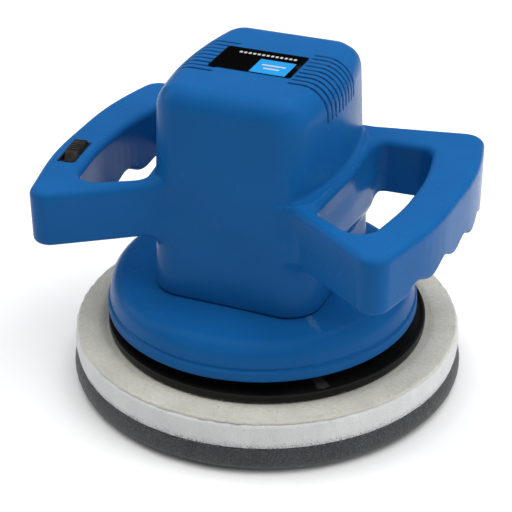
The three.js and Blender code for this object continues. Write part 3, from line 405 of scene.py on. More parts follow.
def column_distance(points, wall=0.0):
    """The pedestal and the motor tower on it, or their inner faces a wall further in."""
    x, y, z = np.moveaxis(points, -1, 0)
    across, along = walls_distance(x, y, z, FOOT, WAIST, SEAM_Z, DECK_Z)
    pedestal = np.maximum(round_max(across, along, PEDESTAL_CORNER_R), z - DECK_Z)
    across, along = walls_distance(x - TOWER_X, y, z, TOWER_FOOT, CROWN, DECK_Z, ROOF_Z)
    across = across + SIDE_BOW * (y - TOWER_WIDEST_Y) ** 2
    top = z - ROOF_Z - ROOF_SLOPE * y
    edge = FRONT_ROUND + (BACK_ROUND - FRONT_ROUND) * smoothstep(-20, 40, y)
    vault = round_max(across, top, SHOULDER_ROUND)
    upright = smoothstep(-0.5, 0.5, (across - top) / SHOULDER_ROUND)
    tower = round_max(vault, along, edge + (TOWER_CORNER_R - edge) * upright)
    tower = np.maximum(tower, DECK_Z - TOWER_DEPTH - wall - z)
    return np.minimum(pedestal, tower) + wall


def underside(x, y):
    """Height of the handles' lower side, with its finger waves."""
    reach = np.abs(x)
    grip = smoothstep(GRIP_X - GRIP_BLEND, GRIP_X + GRIP_BLEND, reach)
    base = np.minimum(ARM_FRONT_Z, ARM_BOTTOM_Z + ARM_BOTTOM_SLOPE * y)
    rear = smoothstep(*REAR_ARM_START, y) * (1 - grip)
    base = base * (1 - rear) + REAR_ARM_Z * rear
    wave = np.sin(math.pi * (y - FINGER_START_Y) / FINGER_PITCH) ** 2
    fade = smoothstep(*WAVES_START, y) * (1 - smoothstep(*WAVES_END, y))
    return base + FINGER_DEPTH * wave * grip * fade


def vent_distance(points):
    x, y, z = np.moveaxis(points, -1, 0)
    nearest = np.clip(np.round((y - VENT_Y) / VENT_PITCH), 0, VENTS - 1)
    across = y - VENT_Y - nearest * VENT_PITCH
    half = VENT_W / 2
    start = np.hypot(np.maximum(VENT_TOP_X + half - np.abs(x), 0), across) - half
    foot = ROOF_Z - VENT_DROP + ROOF_SLOPE * y
    end = np.hypot(np.maximum(foot + half - z, 0), across) - half
    return np.maximum(start, end)


def recess_distance(points):
    x, y, z = np.moveaxis(points, -1, 0)
    dx, dy = x - SWITCH_X, y - SWITCH_Y
    c, s = math.cos(SWITCH_TURN), math.sin(SWITCH_TURN)
    across = np.abs(c * dx + s * dy) - RECESS_W / 2
    along = np.abs(c * dy - s * dx) - RECESS_L / 2 - GAP
    return np.maximum(round_max(across, along, 1), DECK_Z - RECESS_DEPTH - z)


def upper_housing_field(points):
    x, y, z = np.moveaxis(points, -1, 0)
    column = column_distance(points)
    side = deck_side(points)
    under = underside(x, y)
    slab = round_max(side, z - DECK_Z, DECK_ROUND)
    slab = round_max(slab, under - z, ARM_LOWER_ROUND)
    root = smoothstep(DECK_Z - 10, DECK_Z - 25, z)
    outer = round_min(column, slab, TOWER_FILLET + (ROOT_FILLET - TOWER_FILLET) * root)
    outer = round_max(outer, SEAM_Z - z, RIM_ROUND)
    arm_void = round_max(side + WALL, z - DECK_Z + WALL, 1.5)
    floor = np.maximum(np.abs(x) - FOOT[0] - WALL, z - under - WALL)
    hollow = np.minimum(column_distance(points, WALL), np.maximum(arm_void, -floor))
    shell = np.maximum(outer, -hollow)
    boss = np.hypot(np.abs(x) - SCREW_X, np.abs(y) - SCREW_Y)
    post = np.maximum(boss - SCREW_BOSS_R, np.maximum(SEAM_Z + 1 - z, z - SEAM_Z - SCREW_BOSS_H))
    shell = np.minimum(shell, post)
    shell = np.maximum(shell, -np.maximum(boss - SCREW_HOLE_R, z - SEAM_Z - SCREW_BOSS_H + 6))
    shell = round_max(shell, -vent_distance(points), 0.45)
    shell = round_max(shell, -recess_distance(points), 0.8)
    inlet = np.maximum(np.hypot(x, z - INLET_Z) - INLET_R - GAP, LEDGE_Y - 20 - y)
    return round_max(shell, -inlet, 0.5)


def cover_field(points):
    """The plate that closes the underside of the right grip."""
    x, y, z = np.moveaxis(points, -1, 0)
    side = deck_side(points) + WALL + GAP
    level = np.maximum(z - COVER_TOP_Z, underside(x, y) - z)
    start = FOOT[0] + WALL + GAP - x
    body = round_max(np.maximum(side, start), level, 0.6)
    drill = np.hypot(x - COVER_SCREW_X, y - COVER_SCREW_Y)
    seat = ARM_BOTTOM_Z + ARM_BOTTOM_SLOPE * COVER_SCREW_Y + COVER_SEAT_H
    bore = np.minimum(drill - COVER_SCREW_R, np.maximum(drill - COVER_HEAD_R, z - seat - GAP))
    return round_max(body, -bore, 0.3)


def spaced(*stops):
    """Grid positions: stops alternate a coordinate and the spacing up to the next one."""
    parts = []
    for low, step, high in zip(stops[::2], stops[1::2], stops[2::2]):
        parts.append(np.linspace(low, high, max(1, round((high - low) / step)), endpoint=False))
    return np.append(np.concatenate(parts), stops[-1])


def build_housing():
    coarse = 1.35
    fine = 0.55
    vents_end = VENT_Y + (VENTS - 1) * VENT_PITCH + 3
    xs = spaced(HOUSING_LOW[0] - 3, coarse, HOUSING_HIGH[0] + 3)
    ys = spaced(HOUSING_LOW[1] - 3, coarse, VENT_Y - 3, fine, vents_end, coarse, HOUSING_HIGH[1] + 4)
    zs = spaced(SEAM_Z - 2, coarse, HOUSING_HIGH[2] + 3)
    shell = field_object("upper_housing_shell", upper_housing_field, xs, ys, zs)
    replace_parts(shell, "upper_housing")
    finish_piece(shell, "housing", "blue_plastic")
    xs = spaced(FOOT[0], coarse, HOUSING_HIGH[0])
    zs = spaced(90, coarse / 1.6, COVER_TOP_Z + 2)
    right = field_object("grip_cover_right_shell", cover_field, xs, ys, zs)
    left = right.copy()
    left.data = right.data.copy()
    left.name = "grip_cover_left_shell"
    bpy.context.scene.collection.objects.link(left)
    left.data.transform(Matrix.Scale(-1, 4, (1, 0, 0)))
    left.data.flip_normals()
    for side, cover in (("left", left), ("right", right)):
        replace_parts(cover, f"grip_cover_{side}")
        finish_piece(cover, "housing", "blue_plastic")


# ---- base housing, plate and pad -----------------------------------------------
def build_base():
    top = SEAM_Z - GAP
    inner = SKIRT_R - WALL
    web = top - 4
    boss_r, bore_r, seat_r = 19, 11.5, 14.3
    boss_low, boss_high, seat_z = web - 6, web + 12, web + 0.7
    profile = rounded([
        (bore_r, boss_low, 0.6), (boss_r, boss_low, 0.8), (boss_r, web, 2), (SKIRT_R - 16.5, web - 1, 5),
        (inner - 6, top - 13, 6), (inner - 1, 52, 4), (inner, SKIRT_BOTTOM, 0.6),
        (SKIRT_R, SKIRT_BOTTOM, 1.0), (SKIRT_R - 0.5, 51.6, 0.8), (SKIRT_R - 2.3, 52.9, 0.7),
        (SKIRT_R - 1.6, 54.6, 0.9), (SKIRT_R - 3.4, 63.5, 12), (SKIRT_R - 8.5, top - 1.2, 9),
        (SKIRT_R - 24, top - 0.6, 40), (SKIRT_R - 42, top, 40),
        (boss_r, top, 2), (boss_r, boss_high, 0.6), (seat_r, boss_high, 0.6),
        (seat_r, seat_z, 0.3), (bore_r, seat_z, 0.3),
    ], math.radians(8))
    base = lathe("base_housing_skirt", profile, 256)
    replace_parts(base, "base_housing")
    finish_piece(sharpen(base, 50), "housing", "blue_plastic")
    post = rounded([(0, top - 1, 0), (POST_R, top - 1, 0), (POST_R, POST_TOP_Z, 0.6),
                    (POST_HOLE_R, POST_TOP_Z, 0.3), (POST_HOLE_R, POST_HOLE_Z, 0.2),
                    (0, POST_HOLE_Z, 0)], math.radians(15), closed=False)
    corners = [(x, y) for x in (-POST_X, POST_X) for y in (-POST_Y, POST_Y)]
    for i, corner in enumerate(corners):
        piece = lathe(f"base_post_{i + 1}", post, 40, corner)
        finish_piece(sharpen(piece), "housing", "blue_plastic")


def build_plate():
    low, high = PLATE_LOW[2], PLATE_HIGH[2]
    face = high - 1.6
    bore = 12
    profile = rounded([
        (bore, face - 2.5, 0.4), (PLATE_R - 3.2, face - 2.5, 0.5), (PLATE_R - 2.2, low, 0.5),
        (PLATE_R - 0.3, low, 0.8), (PLATE_R, low + 2.2, 1.5), (PLATE_R, high, 0.7),
        (PLATE_R - 1.5, high, 0.5), (PLATE_R - 2.1, high - 0.7, 0.4), (PLATE_R - 3.3, face + 0.2, 0.5),
        (PLATE_R - 5, face, 0.5), (34, face, 1), (32, face + 0.6, 0.6), (30, face, 0.6),
        (bore, face, 0.4)], math.radians(12))
    plate = lathe("backing_plate_disc", profile, 256, (PAD_X, 0))
    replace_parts(plate, "backing_plate")
    finish_piece(sharpen(plate, 50), "pad", "black_gloss")


def wobble(seed, count=26, lowest=3, highest=90):
    """A smooth random function of angle and height, about -1 to 1."""
    random = np.random.default_rng(seed)
    waves = [(int(random.integers(lowest, highest)), random.uniform(0, 2 * math.pi),
              random.uniform(-0.35, 0.35), random.uniform(0.4, 1)) for _ in range(count)]

    def value(angle, height):
        total = sum(size * np.sin(n * angle + phase + tilt * height) for n, phase, tilt, size in waves)
        return total / math.sqrt(count)
    return value


def pad_layer(name, node, body_profile, slot, seed, rough, segments=360):
    uneven = wobble(seed)

    def ripple(angle, radius, height):
        edge = smoothstep(PAD_R - 24, PAD_R - 6, radius)
        shift = uneven(angle, height + radius)
        return radius + rough * shift * edge, height + 0.4 * rough * shift * edge * (height > 1)
    piece = lathe(name, body_profile, segments, (PAD_X, 0), ripple)
    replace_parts(piece, node)
    finish_piece(piece, "pad", slot)
    return piece


def build_pad():
    dish = PLATE_R + 1.5
    dark_top, white_top, fleece_top = DARK_HIGH[2], WHITE_HIGH[2], FLEECE_HIGH[2]
    bulge = 2.8
    pad_layer("pad_foam_dark_layer", "pad_foam_dark", rounded([
        (0, 0, 0), (60, 0, 1), (PAD_R - 4, 0, 3.5), (PAD_R + bulge, 4.5, 6), (PAD_R + bulge, 11, 14),
        (PAD_R + 0.2, dark_top, 0.5), (PAD_R - 12, dark_top + 0.05, 1), (0, dark_top, 0)],
        math.radians(9), closed=False), "dark_foam", 11, 0.18)
    pad_layer("pad_foam_white_layer", "pad_foam_white", rounded([
        (0, WHITE_LOW[2], 0), (PAD_R - 12, WHITE_LOW[2], 1), (PAD_R + 0.2, WHITE_LOW[2], 0.5),
        (PAD_R + 1.4, WHITE_LOW[2] + 6, 14), (PAD_R + 0.8, white_top - 1, 2), (PAD_R - 1.2, white_top, 0.8),
        (dish + 5, white_top, 3), (dish, white_top - 2, 3), (0, white_top - 2, 0)],
        math.radians(9), closed=False), "white_foam", 12, 0.22)
    pad_layer("pad_fleece_layer", "pad_fleece", rounded([
        (0, FLEECE_LOW[2], 0), (dish, FLEECE_LOW[2], 3), (dish + 5, FLEECE_LOW[2] + 2, 3),
        (PAD_R - 1.6, white_top + 0.02, 0.3), (PAD_R - 0.2, white_top + 0.02, 0.3),
        (PAD_R - 0.6, fleece_top - 0.4, 0.9), (PAD_R - 5, fleece_top + 0.35, 4),
        (PAD_R - 9, fleece_top + 0.35, 2), (dish + 4, fleece_top, 6), (dish, fleece_top - 2, 3),
        (0, fleece_top - 2, 0)],
        math.radians(9), closed=False), "fleece", 13, 0.3)
    build_pile(fleece_top)


def build_pile(top):
    """Short fibres along the fleece's rim, each a closed three-sided spike."""
    random = np.random.default_rng(21)
    count = 12000
    angle = random.uniform(0, 2 * math.pi, count)
    inward = random.random(count) ** 1.4 * (PAD_R - PLATE_R - 2)
    radius = PAD_R - 0.8 - inward
    root = np.stack([PAD_X + radius * np.cos(angle), radius * np.sin(angle),
                     np.where(inward < 0.8, top - 0.5, top + 0.15)], axis=1)
    lean = random.uniform(-1, 1, (count, 3)) * (1, 1, 0.25)
    outward = np.stack([np.cos(angle), np.sin(angle), np.zeros(count)], axis=1)
    lean += outward * np.exp(-inward / 1.5)[:, None] * 1.6 + (0, 0, 0.55)
    lean /= np.linalg.norm(lean, axis=1, keepdims=True)
    length = random.uniform(0.6, 1.3, count)[:, None]
    thick = random.uniform(0.05, 0.09, count)[:, None]
    side = np.cross(lean, random.uniform(-1, 1, (count, 3)))
    side /= np.linalg.norm(side, axis=1, keepdims=True)
    third = np.cross(lean, side)
    corners = [root + thick * (math.cos(t) * side + math.sin(t) * third)
               for t in (0, 2 * math.pi / 3, 4 * math.pi / 3)]
    points = np.stack([*corners, root + lean * length], axis=1).reshape(-1, 3)
    base = np.arange(count)[:, None] * 4
    faces = np.vstack([base + triple for triple in ([0, 2, 1], [0, 1, 3], [1, 2, 3], [2, 0, 3])])
    pile = mesh_object("pad_fleece_pile", points, faces)
    finish_piece(pile, "pad", "fleece")


# ---- small pieces ---------------------------------------------------------------
def roof_height(x, y):
    beyond = np.maximum(np.abs(x - TOWER_X) - (CROWN[0] - SHOULDER_ROUND), 0)
    drop = SHOULDER_ROUND - np.sqrt(SHOULDER_ROUND ** 2 - beyond ** 2)
    return ROOF_Z + ROOF_SLOPE * y - drop


def on_roof(name, x0, x1, y0, y1, corner, low, high, rings=10):
    """A thin plate that follows the roof, from low to high above it."""
    centre = np.array([(x0 + x1) / 2, (y0 + y1) / 2])
    outline = rounded([(x0, y0, corner), (x1, y0, corner), (x1, y1, corner), (x0, y1, corner)],
                      math.radians(15))
    dense = []
    for a, b in zip(outline, np.roll(outline, -1, axis=0)):
        steps = max(1, math.ceil(np.linalg.norm(b - a) / 2))
        dense += [a + (b - a) * k / steps for k in range(steps)]
    dense = np.array(dense)
    bevel = min(0.12, (high - low) / 3)
    rows = []
    for share, lift in ((0.02, low), (1, low), (1, high - bevel)):
        rows.append((centre + (dense - centre) * share, lift))
    size = max(x1 - x0, y1 - y0) / 2
    shares = [1 - bevel / size, *np.linspace(1, 0, rings + 1)[1:-1], 0.02]
    rows += [(centre + (dense - centre) * share, high) for share in shares]
    points = [np.column_stack([p, roof_height(p[:, 0], p[:, 1]) + lift]) for p, lift in rows]
    return sharpen(rings_mesh(name, points), 40)


def build_label():
    low, high = node_box("label_plate")
    plate = on_roof("label_plate_film", low[0], high[0], low[1], high[1], 1.6, 0.02, 0.42)
    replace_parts(plate, "label_plate")
    finish_piece(plate, "housing", "label_film")
    width, depth = high[0] - low[0], high[1] - low[1]
    left, right = low[0] + 0.5 * width, low[0] + 0.93 * width
    back = low[1] + 0.62 * depth
    panel = on_roof("label_panel", left, right, low[1] + 0.5, back, 0.3, 0.425, 0.47)
    finish_piece(panel, "housing", "label_film", "label_blue")
    stripe_y = low[1] + 0.8 * depth
    count = 13
    pitch = 0.72 * width / count
    for i in range(count):
        x = low[0] + 0.19 * width + i * pitch
        mark = on_roof(f"label_mark_{i + 1}", x, x + pitch * 0.62, stripe_y - 1.1, stripe_y + 1.1, 0.3,
                       0.425, 0.46, 2)
        finish_piece(mark, "housing", "label_film", "label_white")
    middle_y = (low[1] + back) / 2
    for i, half in enumerate((7.5, 5.0)):
        y = middle_y + 2.2 - i * 4.4
        x = (left + right) / 2
        mark = on_roof(f"label_bar_{i + 1}", x - half, x + half, y - 0.8, y + 0.8, 0.5, 0.475, 0.5, 2)
        finish_piece(mark, "housing", "label_film", "label_white")


def build_switch():
    """The ribbed cap of the slide switch, modelled along Y and turned onto the grip."""
    back = RECESS_L / 2 - SLIDER_END_GAP
    floor = -RECESS_DEPTH
    top = floor + SLIDER_H
    pitch = SLIDER_RIBBED_L / SLIDER_RIBS
    corners = [(back, floor), (back, top - 0.9)]
    for i in range(SLIDER_RIBS):
        y = back - 0.4 - i * pitch
        corners += [(y, top), (y - pitch * 0.42, top), (y - pitch * 0.6, top - 0.85),
                    (y - pitch * 0.85, top - 0.85)]
    corners += [(back - 16, top - 0.15), (back - 20, floor)]
    rings = [[(x, y, z) for y, z in corners] for x in (-SLIDER_HALF_W, SLIDER_HALF_W)]
    cap = bevelled(rings_mesh("switch_cap", rings, smooth=False), 0.22, 2)
    place = Matrix.Translation(Vector((SWITCH_X, SWITCH_Y, DECK_Z)) * MM)
    cap.data.transform(place @ Matrix.Rotation(SWITCH_TURN, 4, "Z"))
    cap.data.shade_smooth()
    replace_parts(sharpen(cap, 40), "switch_slider")
    finish_piece(cap, "slider", "black_plastic", "switch_plastic")


def build_gland():
    """The rubber cord gland at the back, with the grooves that let it flex."""
    bore, body, flange = 4.2, INLET_R, INLET_R + 3
    length = GLAND_END_Y - LEDGE_Y
    corners = [(bore, -10, 0.3), (body, -10, 0.5), (body, GAP, 0.2), (flange, GAP, 0.6), (flange, 2.5, 1)]
    ribs = 4
    for i in range(ribs):
        start = 3.4 + i * (length - 4.2) / ribs
        wide = body + 0.6 - 0.75 * i
        pitch = (length - 4.2) / ribs
        corners += [(wide - 1.3, start, 0.25), (wide - 1.3, start + pitch * 0.35, 0.25),
                    (wide, start + pitch * 0.45, 0.3), (wide - 0.2, start + pitch * 0.95, 0.3)]
    corners += [(body - 2.8, length, 0.4), (bore, length, 0.4)]
    gland = lathe("cord_inlet_boot", rounded(corners, math.radians(15)), 64)
    turn = Matrix.Rotation(-math.pi / 2, 4, "X")
    gland.data.transform(Matrix.Translation(Vector((0, LEDGE_Y, INLET_Z)) * MM) @ turn)
    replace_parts(sharpen(gland, 45), "cord_inlet_gland")
    finish_piece(gland, "housing", "rubber")


# ---- materials --------------------------------------------------------------------
MATERIALS = {}


class Shader:
    """A Principled material whose inputs are driven by procedural nodes."""

    def __init__(self, name, **settings):
        self.material = bpy.data.materials.new(name)
        self.material.use_nodes = True
        self.tree = self.material.node_tree
        self.surface = self.tree.nodes["Principled BSDF"]
        for key, value in settings.items():
            self.surface.inputs[key.replace("_", " ").title().replace("Ior", "IOR")].default_value = value
        self.place = self.add("ShaderNodeTexCoord").outputs["Object"]

    def add(self, kind, settings=(), **inputs):
        made = self.tree.nodes.new(kind)
        for key, value in dict(settings).items():
            setattr(made, key, value)
        for key, value in inputs.items():
            self.set(made.inputs[key.replace("_", " ").title()], value)
        return made

    def set(self, socket, value):
        if isinstance(value, bpy.types.NodeSocket):
            self.tree.links.new(value, socket)
        else:
            socket.default_value = value

    def stretched(self, scale):
        return self.add("ShaderNodeMapping", vector=self.place, scale=scale).outputs[0]

    def noise(self, scale, detail=3.0, roughness=0.55, place=None):
        """Noise with features about 1/scale metres across."""
        return self.add("ShaderNodeTexNoise", vector=place or self.place, scale=scale, detail=detail,
                        roughness=roughness).outputs[0]

    def cells(self, scale, feature="F1", place=None):
        return self.add("ShaderNodeTexVoronoi", {"feature": feature}, vector=place or self.place,
                        scale=scale).outputs["Distance"]

    def ranged(self, value, low, high, to_low, to_high):
        made = self.add("ShaderNodeMapRange", value=value)
        for key, number in zip(("From Min", "From Max", "To Min", "To Max"), (low, high, to_low, to_high)):
            self.set(made.inputs[key], number)
        return made.outputs[0]

    def math(self, operation, a, b=0.0):
        made = self.add("ShaderNodeMath", {"operation": operation})
        self.set(made.inputs[0], a)
        self.set(made.inputs[1], b)
        return made.outputs[0]

    def mixed(self, share, first, second):
        made = self.add("ShaderNodeMix", {"data_type": "RGBA"})
        self.set(made.inputs["Factor"], share)
        for socket, value in ((made.inputs[6], first), (made.inputs[7], second)):
            self.set(socket, value if isinstance(value, bpy.types.NodeSocket) else (*value, 1))
        return made.outputs[2]

    def bump(self, height, distance, strength=1.0, under=None):
        made = self.add("ShaderNodeBump", height=height, distance=distance, strength=strength)
        if under:
            self.set(made.inputs["Normal"], under)
        return made.outputs[0]

    def edges(self, low=0.51, high=0.56):
        """1 on worn convex edges, 0 elsewhere."""
        sharp = self.add("ShaderNodeNewGeometry").outputs["Pointiness"]
        return self.ranged(sharp, low, high, 0, 1)

    def height(self):
        return self.add("ShaderNodeSeparateXYZ", vector=self.place).outputs["Z"]

    def done(self, colour, roughness, normal):
        self.set(self.surface.inputs["Base Color"], colour)
        self.set(self.surface.inputs["Roughness"], roughness)
        self.set(self.surface.inputs["Normal"], normal)
        return self.material


def tint(colour, factor):
    return tuple(min(1, c * factor) for c in colour)


def moulded(name, colour, roughness, grain=0.35, depth=0.006, wear=0.25, **settings):
    """Injection-moulded plastic: fine texture, slight mottling, paler worn edges."""
    s = Shader(name, roughness=roughness, **settings)
    cloud = s.noise(22, 2)
    shade = s.mixed(s.ranged(cloud, 0.35, 0.65, 0, 1), tint(colour, 0.96), tint(colour, 1.05))
    scuff = s.noise(260, 4, 0.7)
    worn = s.math("MULTIPLY", s.edges(0.53, 0.6), s.ranged(scuff, 0.35, 0.7, 0, wear))
    shade = s.mixed(worn, shade, tuple(c * 0.7 + 0.25 for c in colour))
    rough = s.ranged(s.noise(70, 4, 0.65), 0.3, 0.7, roughness * 0.85, roughness * 1.2)
    skin = s.bump(s.noise(1000 / grain, 2, 0.5), depth * MM)
    return s.done(shade, rough, s.bump(s.noise(45, 2), 0.05 * MM, 0.6, skin))


def metal(name, colour, roughness, brushed=(1, 1, 12), wear=0.3):
    """Machined or drawn metal with a grain direction and dulled patches."""
    s = Shader(name, roughness=roughness, metallic=1.0)
    grain = s.noise(900, 3, 0.6, s.stretched(brushed))
    patch = s.noise(60, 4, 0.6)
    shade = s.mixed(s.ranged(patch, 0.35, 0.7, 0, 1), tint(colour, 1.05), tint(colour, 0.82))
    shade = s.mixed(s.math("MULTIPLY", s.edges(), wear), shade, (0.85, 0.85, 0.84))
    rough = s.ranged(s.math("ADD", grain, patch), 0.7, 1.3, roughness * 0.75, roughness * 1.3)
    return s.done(shade, rough, s.bump(grain, 0.012 * MM))


def winding(name, colour):
    """Enamelled wire laid side by side, with painted shade in the grooves between the wires and painted
    highlight on their crowns.
    """
    s = Shader(name, roughness=0.35, metallic=0.9, coat_weight=0.4)
    wire_bands_and_painted_shade = s.add("ShaderNodeTexWave", {"bands_direction": "Z"}, vector=s.place, scale=900, distortion=2.0)
    # painted shade and highlight: the wave bands darken the grooves between the wires and lighten their
    # crowns
    shade = s.mixed(wire_bands_and_painted_shade.outputs["Fac"], tint(colour, 0.55), tint(colour, 1.15))
    rough = s.ranged(s.noise(300, 3), 0.3, 0.7, 0.25, 0.45)
    return s.done(shade, rough, s.bump(wire_bands_and_painted_shade.outputs["Fac"], 0.15 * MM))


def rough_solid(name, colour, roughness, grain=0.6, depth=0.03, **settings):
    """Rubber, ferrite, carbon or board: a matt surface with a granular skin."""
    s = Shader(name, roughness=roughness, **settings)
    cloud, grit = s.noise(90, 4, 0.6), s.noise(1000 / grain, 3, 0.6)
    shade = s.mixed(s.ranged(cloud, 0.3, 0.7, 0, 1), tint(colour, 0.8), tint(colour, 1.25))
    shade = s.mixed(s.math("MULTIPLY", s.edges(), 0.3), shade, tint(colour, 2))
    rough = s.ranged(grit, 0.3, 0.7, roughness * 0.9, min(1, roughness * 1.12))
    return s.done(shade, rough, s.bump(grit, depth * MM))


def gloss_disc(name, colour):
    """The moulded plate: glossy black with faint turning marks about the pad axis."""
    s = Shader(name, roughness=0.34, specular_ior_level=0.22)
    centred = s.add("ShaderNodeMapping", vector=s.place, location=(-PAD_X * MM, 0, 0)).outputs[0]
    turned = s.add("ShaderNodeTexWave", {"wave_type": "RINGS", "rings_direction": "Z"},
                   vector=centred, scale=140, distortion=0.6, detail=2.0)
    cloud = s.noise(35, 4, 0.6)
    shade = s.mixed(s.ranged(cloud, 0.35, 0.7, 0, 1), tint(colour, 0.8), tint(colour, 1.5))
    dust = s.ranged(s.noise(1900, 2, 0.7), 0.66, 0.76, 0, 0.12)
    shade = s.mixed(dust, shade, (0.2, 0.2, 0.19))
    shade = s.mixed(s.math("MULTIPLY", s.edges(), 0.35), shade, (0.13, 0.13, 0.13))
    rough = s.ranged(cloud, 0.3, 0.7, 0.3, 0.42)
    skin = s.bump(turned.outputs["Fac"], 0.012 * MM)
    return s.done(shade, rough, s.bump(s.noise(30, 2), 0.08 * MM, 0.7, skin))


FOAM_SEAM = (DARK_HIGH[2] + WHITE_LOW[2]) / 2 * MM


def white_foam(name, white, dark):
    """Pale open-cell foam that turns speckled towards the dark layer under it."""
    s = Shader(name, roughness=0.95, sheen_weight=0.25, subsurface_weight=0.15, subsurface_scale=0.003)
    pores_and_painted_pore_shade, cloud = s.noise(1500, 2, 0.6), s.noise(50, 3)
    shade = s.mixed(s.ranged(cloud, 0.35, 0.65, 0, 1), tint(white, 0.95), tint(white, 1.03))
    # painted shade: darker spots stand for shade inside the pores
    shade = s.mixed(s.ranged(pores_and_painted_pore_shade, 0.3, 0.45, 0.35, 0), shade, tint(white, 0.72))
    above = s.math("SUBTRACT", s.height(), FOAM_SEAM)
    wander = s.math("MULTIPLY", s.math("SUBTRACT", s.noise(70, 3), 0.5), 2 * MM)
    level = s.ranged(s.math("ADD", above, wander), 0, 6.5 * MM, 0.53, 0.3)
    speck = s.ranged(s.math("SUBTRACT", level, s.noise(1500, 2, 0.6)), -0.03, 0.06, 0, 0.8)
    shade = s.mixed(speck, shade, tint(dark, 0.9))
    rough = s.ranged(pores_and_painted_pore_shade, 0.3, 0.7, 0.88, 1)
    skin = s.bump(s.cells(1100), 0.35 * MM, 0.6)
    return s.done(shade, rough, s.bump(s.noise(260, 4, 0.65), 0.5 * MM, 0.6, skin))


def dark_foam(name, dark, white):
    """Charcoal open-cell foam with pale flecks, more of them near the pale layer."""
    s = Shader(name, roughness=0.95, sheen_weight=0.2)
    pores_and_painted_pore_shade, cloud = s.cells(900), s.noise(60, 3)
    shade = s.mixed(s.ranged(cloud, 0.35, 0.65, 0, 1), tint(dark, 0.85), tint(dark, 1.15))
    # painted shade: the pits of the pores are darkened
    shade = s.mixed(s.ranged(pores_and_painted_pore_shade, 0.15, 0.6, 0.55, 0), shade, tint(dark, 0.35))
    flecks = s.ranged(s.noise(1250, 2, 0.7), 0.54, 0.64, 0, 0.6)
    shade = s.mixed(flecks, shade, tint(dark, 3))
    below = s.math("SUBTRACT", FOAM_SEAM, s.height())
    wander = s.math("MULTIPLY", s.math("SUBTRACT", s.noise(70, 3), 0.5), 1 * MM)
    level = s.ranged(s.math("ADD", below, wander), 0, 1.5 * MM, 0.44, 0.3)
    shade = s.mixed(s.ranged(s.math("SUBTRACT", level, s.noise(1500, 2, 0.6)), -0.02, 0.06, 0, 0.4),
                    shade, tint(white, 0.85))
    rough = s.ranged(pores_and_painted_pore_shade, 0.1, 0.6, 1, 0.88)
    skin = s.bump(pores_and_painted_pore_shade, 0.45 * MM, 0.7)
    return s.done(shade, rough, s.bump(s.noise(220, 4, 0.6), 0.4 * MM, 0.6, skin))


def fleece(name, cream):
    """Short loop pile with matted patches and a few dark fibres."""
    s = Shader(name, roughness=1.0, sheen_weight=0.6, sheen_roughness=0.5)
    matted, tufts_and_painted_shade, fibre = s.noise(38, 4, 0.6), s.noise(420, 4, 0.65), s.noise(1700, 3, 0.7)
    shade = s.mixed(s.ranged(matted, 0.35, 0.65, 0, 1), tint(cream, 0.9), tint(cream, 1.05))
    # painted shade: the hollows between the tufts are darkened
    shade = s.mixed(s.ranged(tufts_and_painted_shade, 0.32, 0.6, 0.4, 0), shade, tint(cream, 0.7))
    shade = s.mixed(s.ranged(fibre, 0.62, 0.72, 0, 0.35), shade, (0.42, 0.38, 0.30))
    rough = s.ranged(tufts_and_painted_shade, 0.3, 0.7, 0.9, 1)
    skin = s.bump(fibre, 0.5 * MM, 0.8)
    return s.done(shade, rough, s.bump(tufts_and_painted_shade, 1.1 * MM, 0.7, skin))


BLUE = (0.0062, 0.092, 0.285)
CREAM = (0.62, 0.61, 0.53)
FOAM_WHITE = (0.62, 0.63, 0.63)
FOAM_DARK = (0.038, 0.043, 0.045)


def build_materials():
    MATERIALS.update({
        "blue_plastic": moulded("blue_plastic", BLUE, 0.24, specular_ior_level=0.06),
        "black_plastic": moulded("black_plastic", (0.009, 0.009, 0.009), 0.45, depth=0.02,
                                 specular_ior_level=0.25),
        "switch_plastic": moulded("switch_plastic", (0.018, 0.016, 0.013), 0.45, grain=0.5,
                                  depth=0.03, wear=0.3, specular_ior_level=0.25),
        "black_gloss": gloss_disc("black_gloss", (0.006, 0.006, 0.006)),
        "label_film": moulded("label_film", (0.002, 0.002, 0.002), 0.35, grain=0.8, depth=0.004, wear=0.1,
                              specular_ior_level=0.0),
        "label_blue": moulded("label_blue", (0.02, 0.24, 0.56), 0.35, grain=0.8, depth=0.004, wear=0.1,
                              specular_ior_level=0.0),
        "label_white": moulded("label_white", (0.45, 0.47, 0.48), 0.35, grain=0.8, depth=0.004, wear=0.1),
        "steel": metal("steel", (0.62, 0.63, 0.65), 0.32),
        "dark_steel": metal("dark_steel", (0.14, 0.145, 0.15), 0.42, (1, 1, 4)),
        "aluminium": metal("aluminium", (0.68, 0.69, 0.7), 0.38, (3, 3, 3)),
        "brass": metal("brass", (0.62, 0.43, 0.15), 0.3, (8, 1, 1)),
        "copper": winding("copper", (0.56, 0.22, 0.08)),
        "ferrite": rough_solid("ferrite", (0.035, 0.033, 0.033), 0.7),
        "carbon": rough_solid("carbon", (0.02, 0.02, 0.021), 0.6, metallic=0.2),
        "rubber": rough_solid("rubber", (0.013, 0.013, 0.013), 0.62, grain=0.9, depth=0.02,
                              specular_ior_level=0.25),
        "board": rough_solid("board", (0.03, 0.13, 0.05), 0.45, grain=1.2),
        "wire": moulded("wire", (0.08, 0.09, 0.1), 0.45),
        "capacitor": moulded("capacitor", (0.45, 0.24, 0.03), 0.35),
        "hook_nylon": rough_solid("hook_nylon", (0.012, 0.012, 0.012), 0.85, grain=1.5, depth=0.4),
        "white_foam": white_foam("white_foam", FOAM_WHITE, FOAM_DARK),
        "dark_foam": dark_foam("dark_foam", FOAM_DARK, FOAM_WHITE),
        "fleece": fleece("fleece", CREAM),
    })


def finish_piece(obj, body, slot, material=None):
    obj.data.materials.clear()
    obj.data.materials.append(MATERIALS[material or slot])
    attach(obj, body)
    return obj


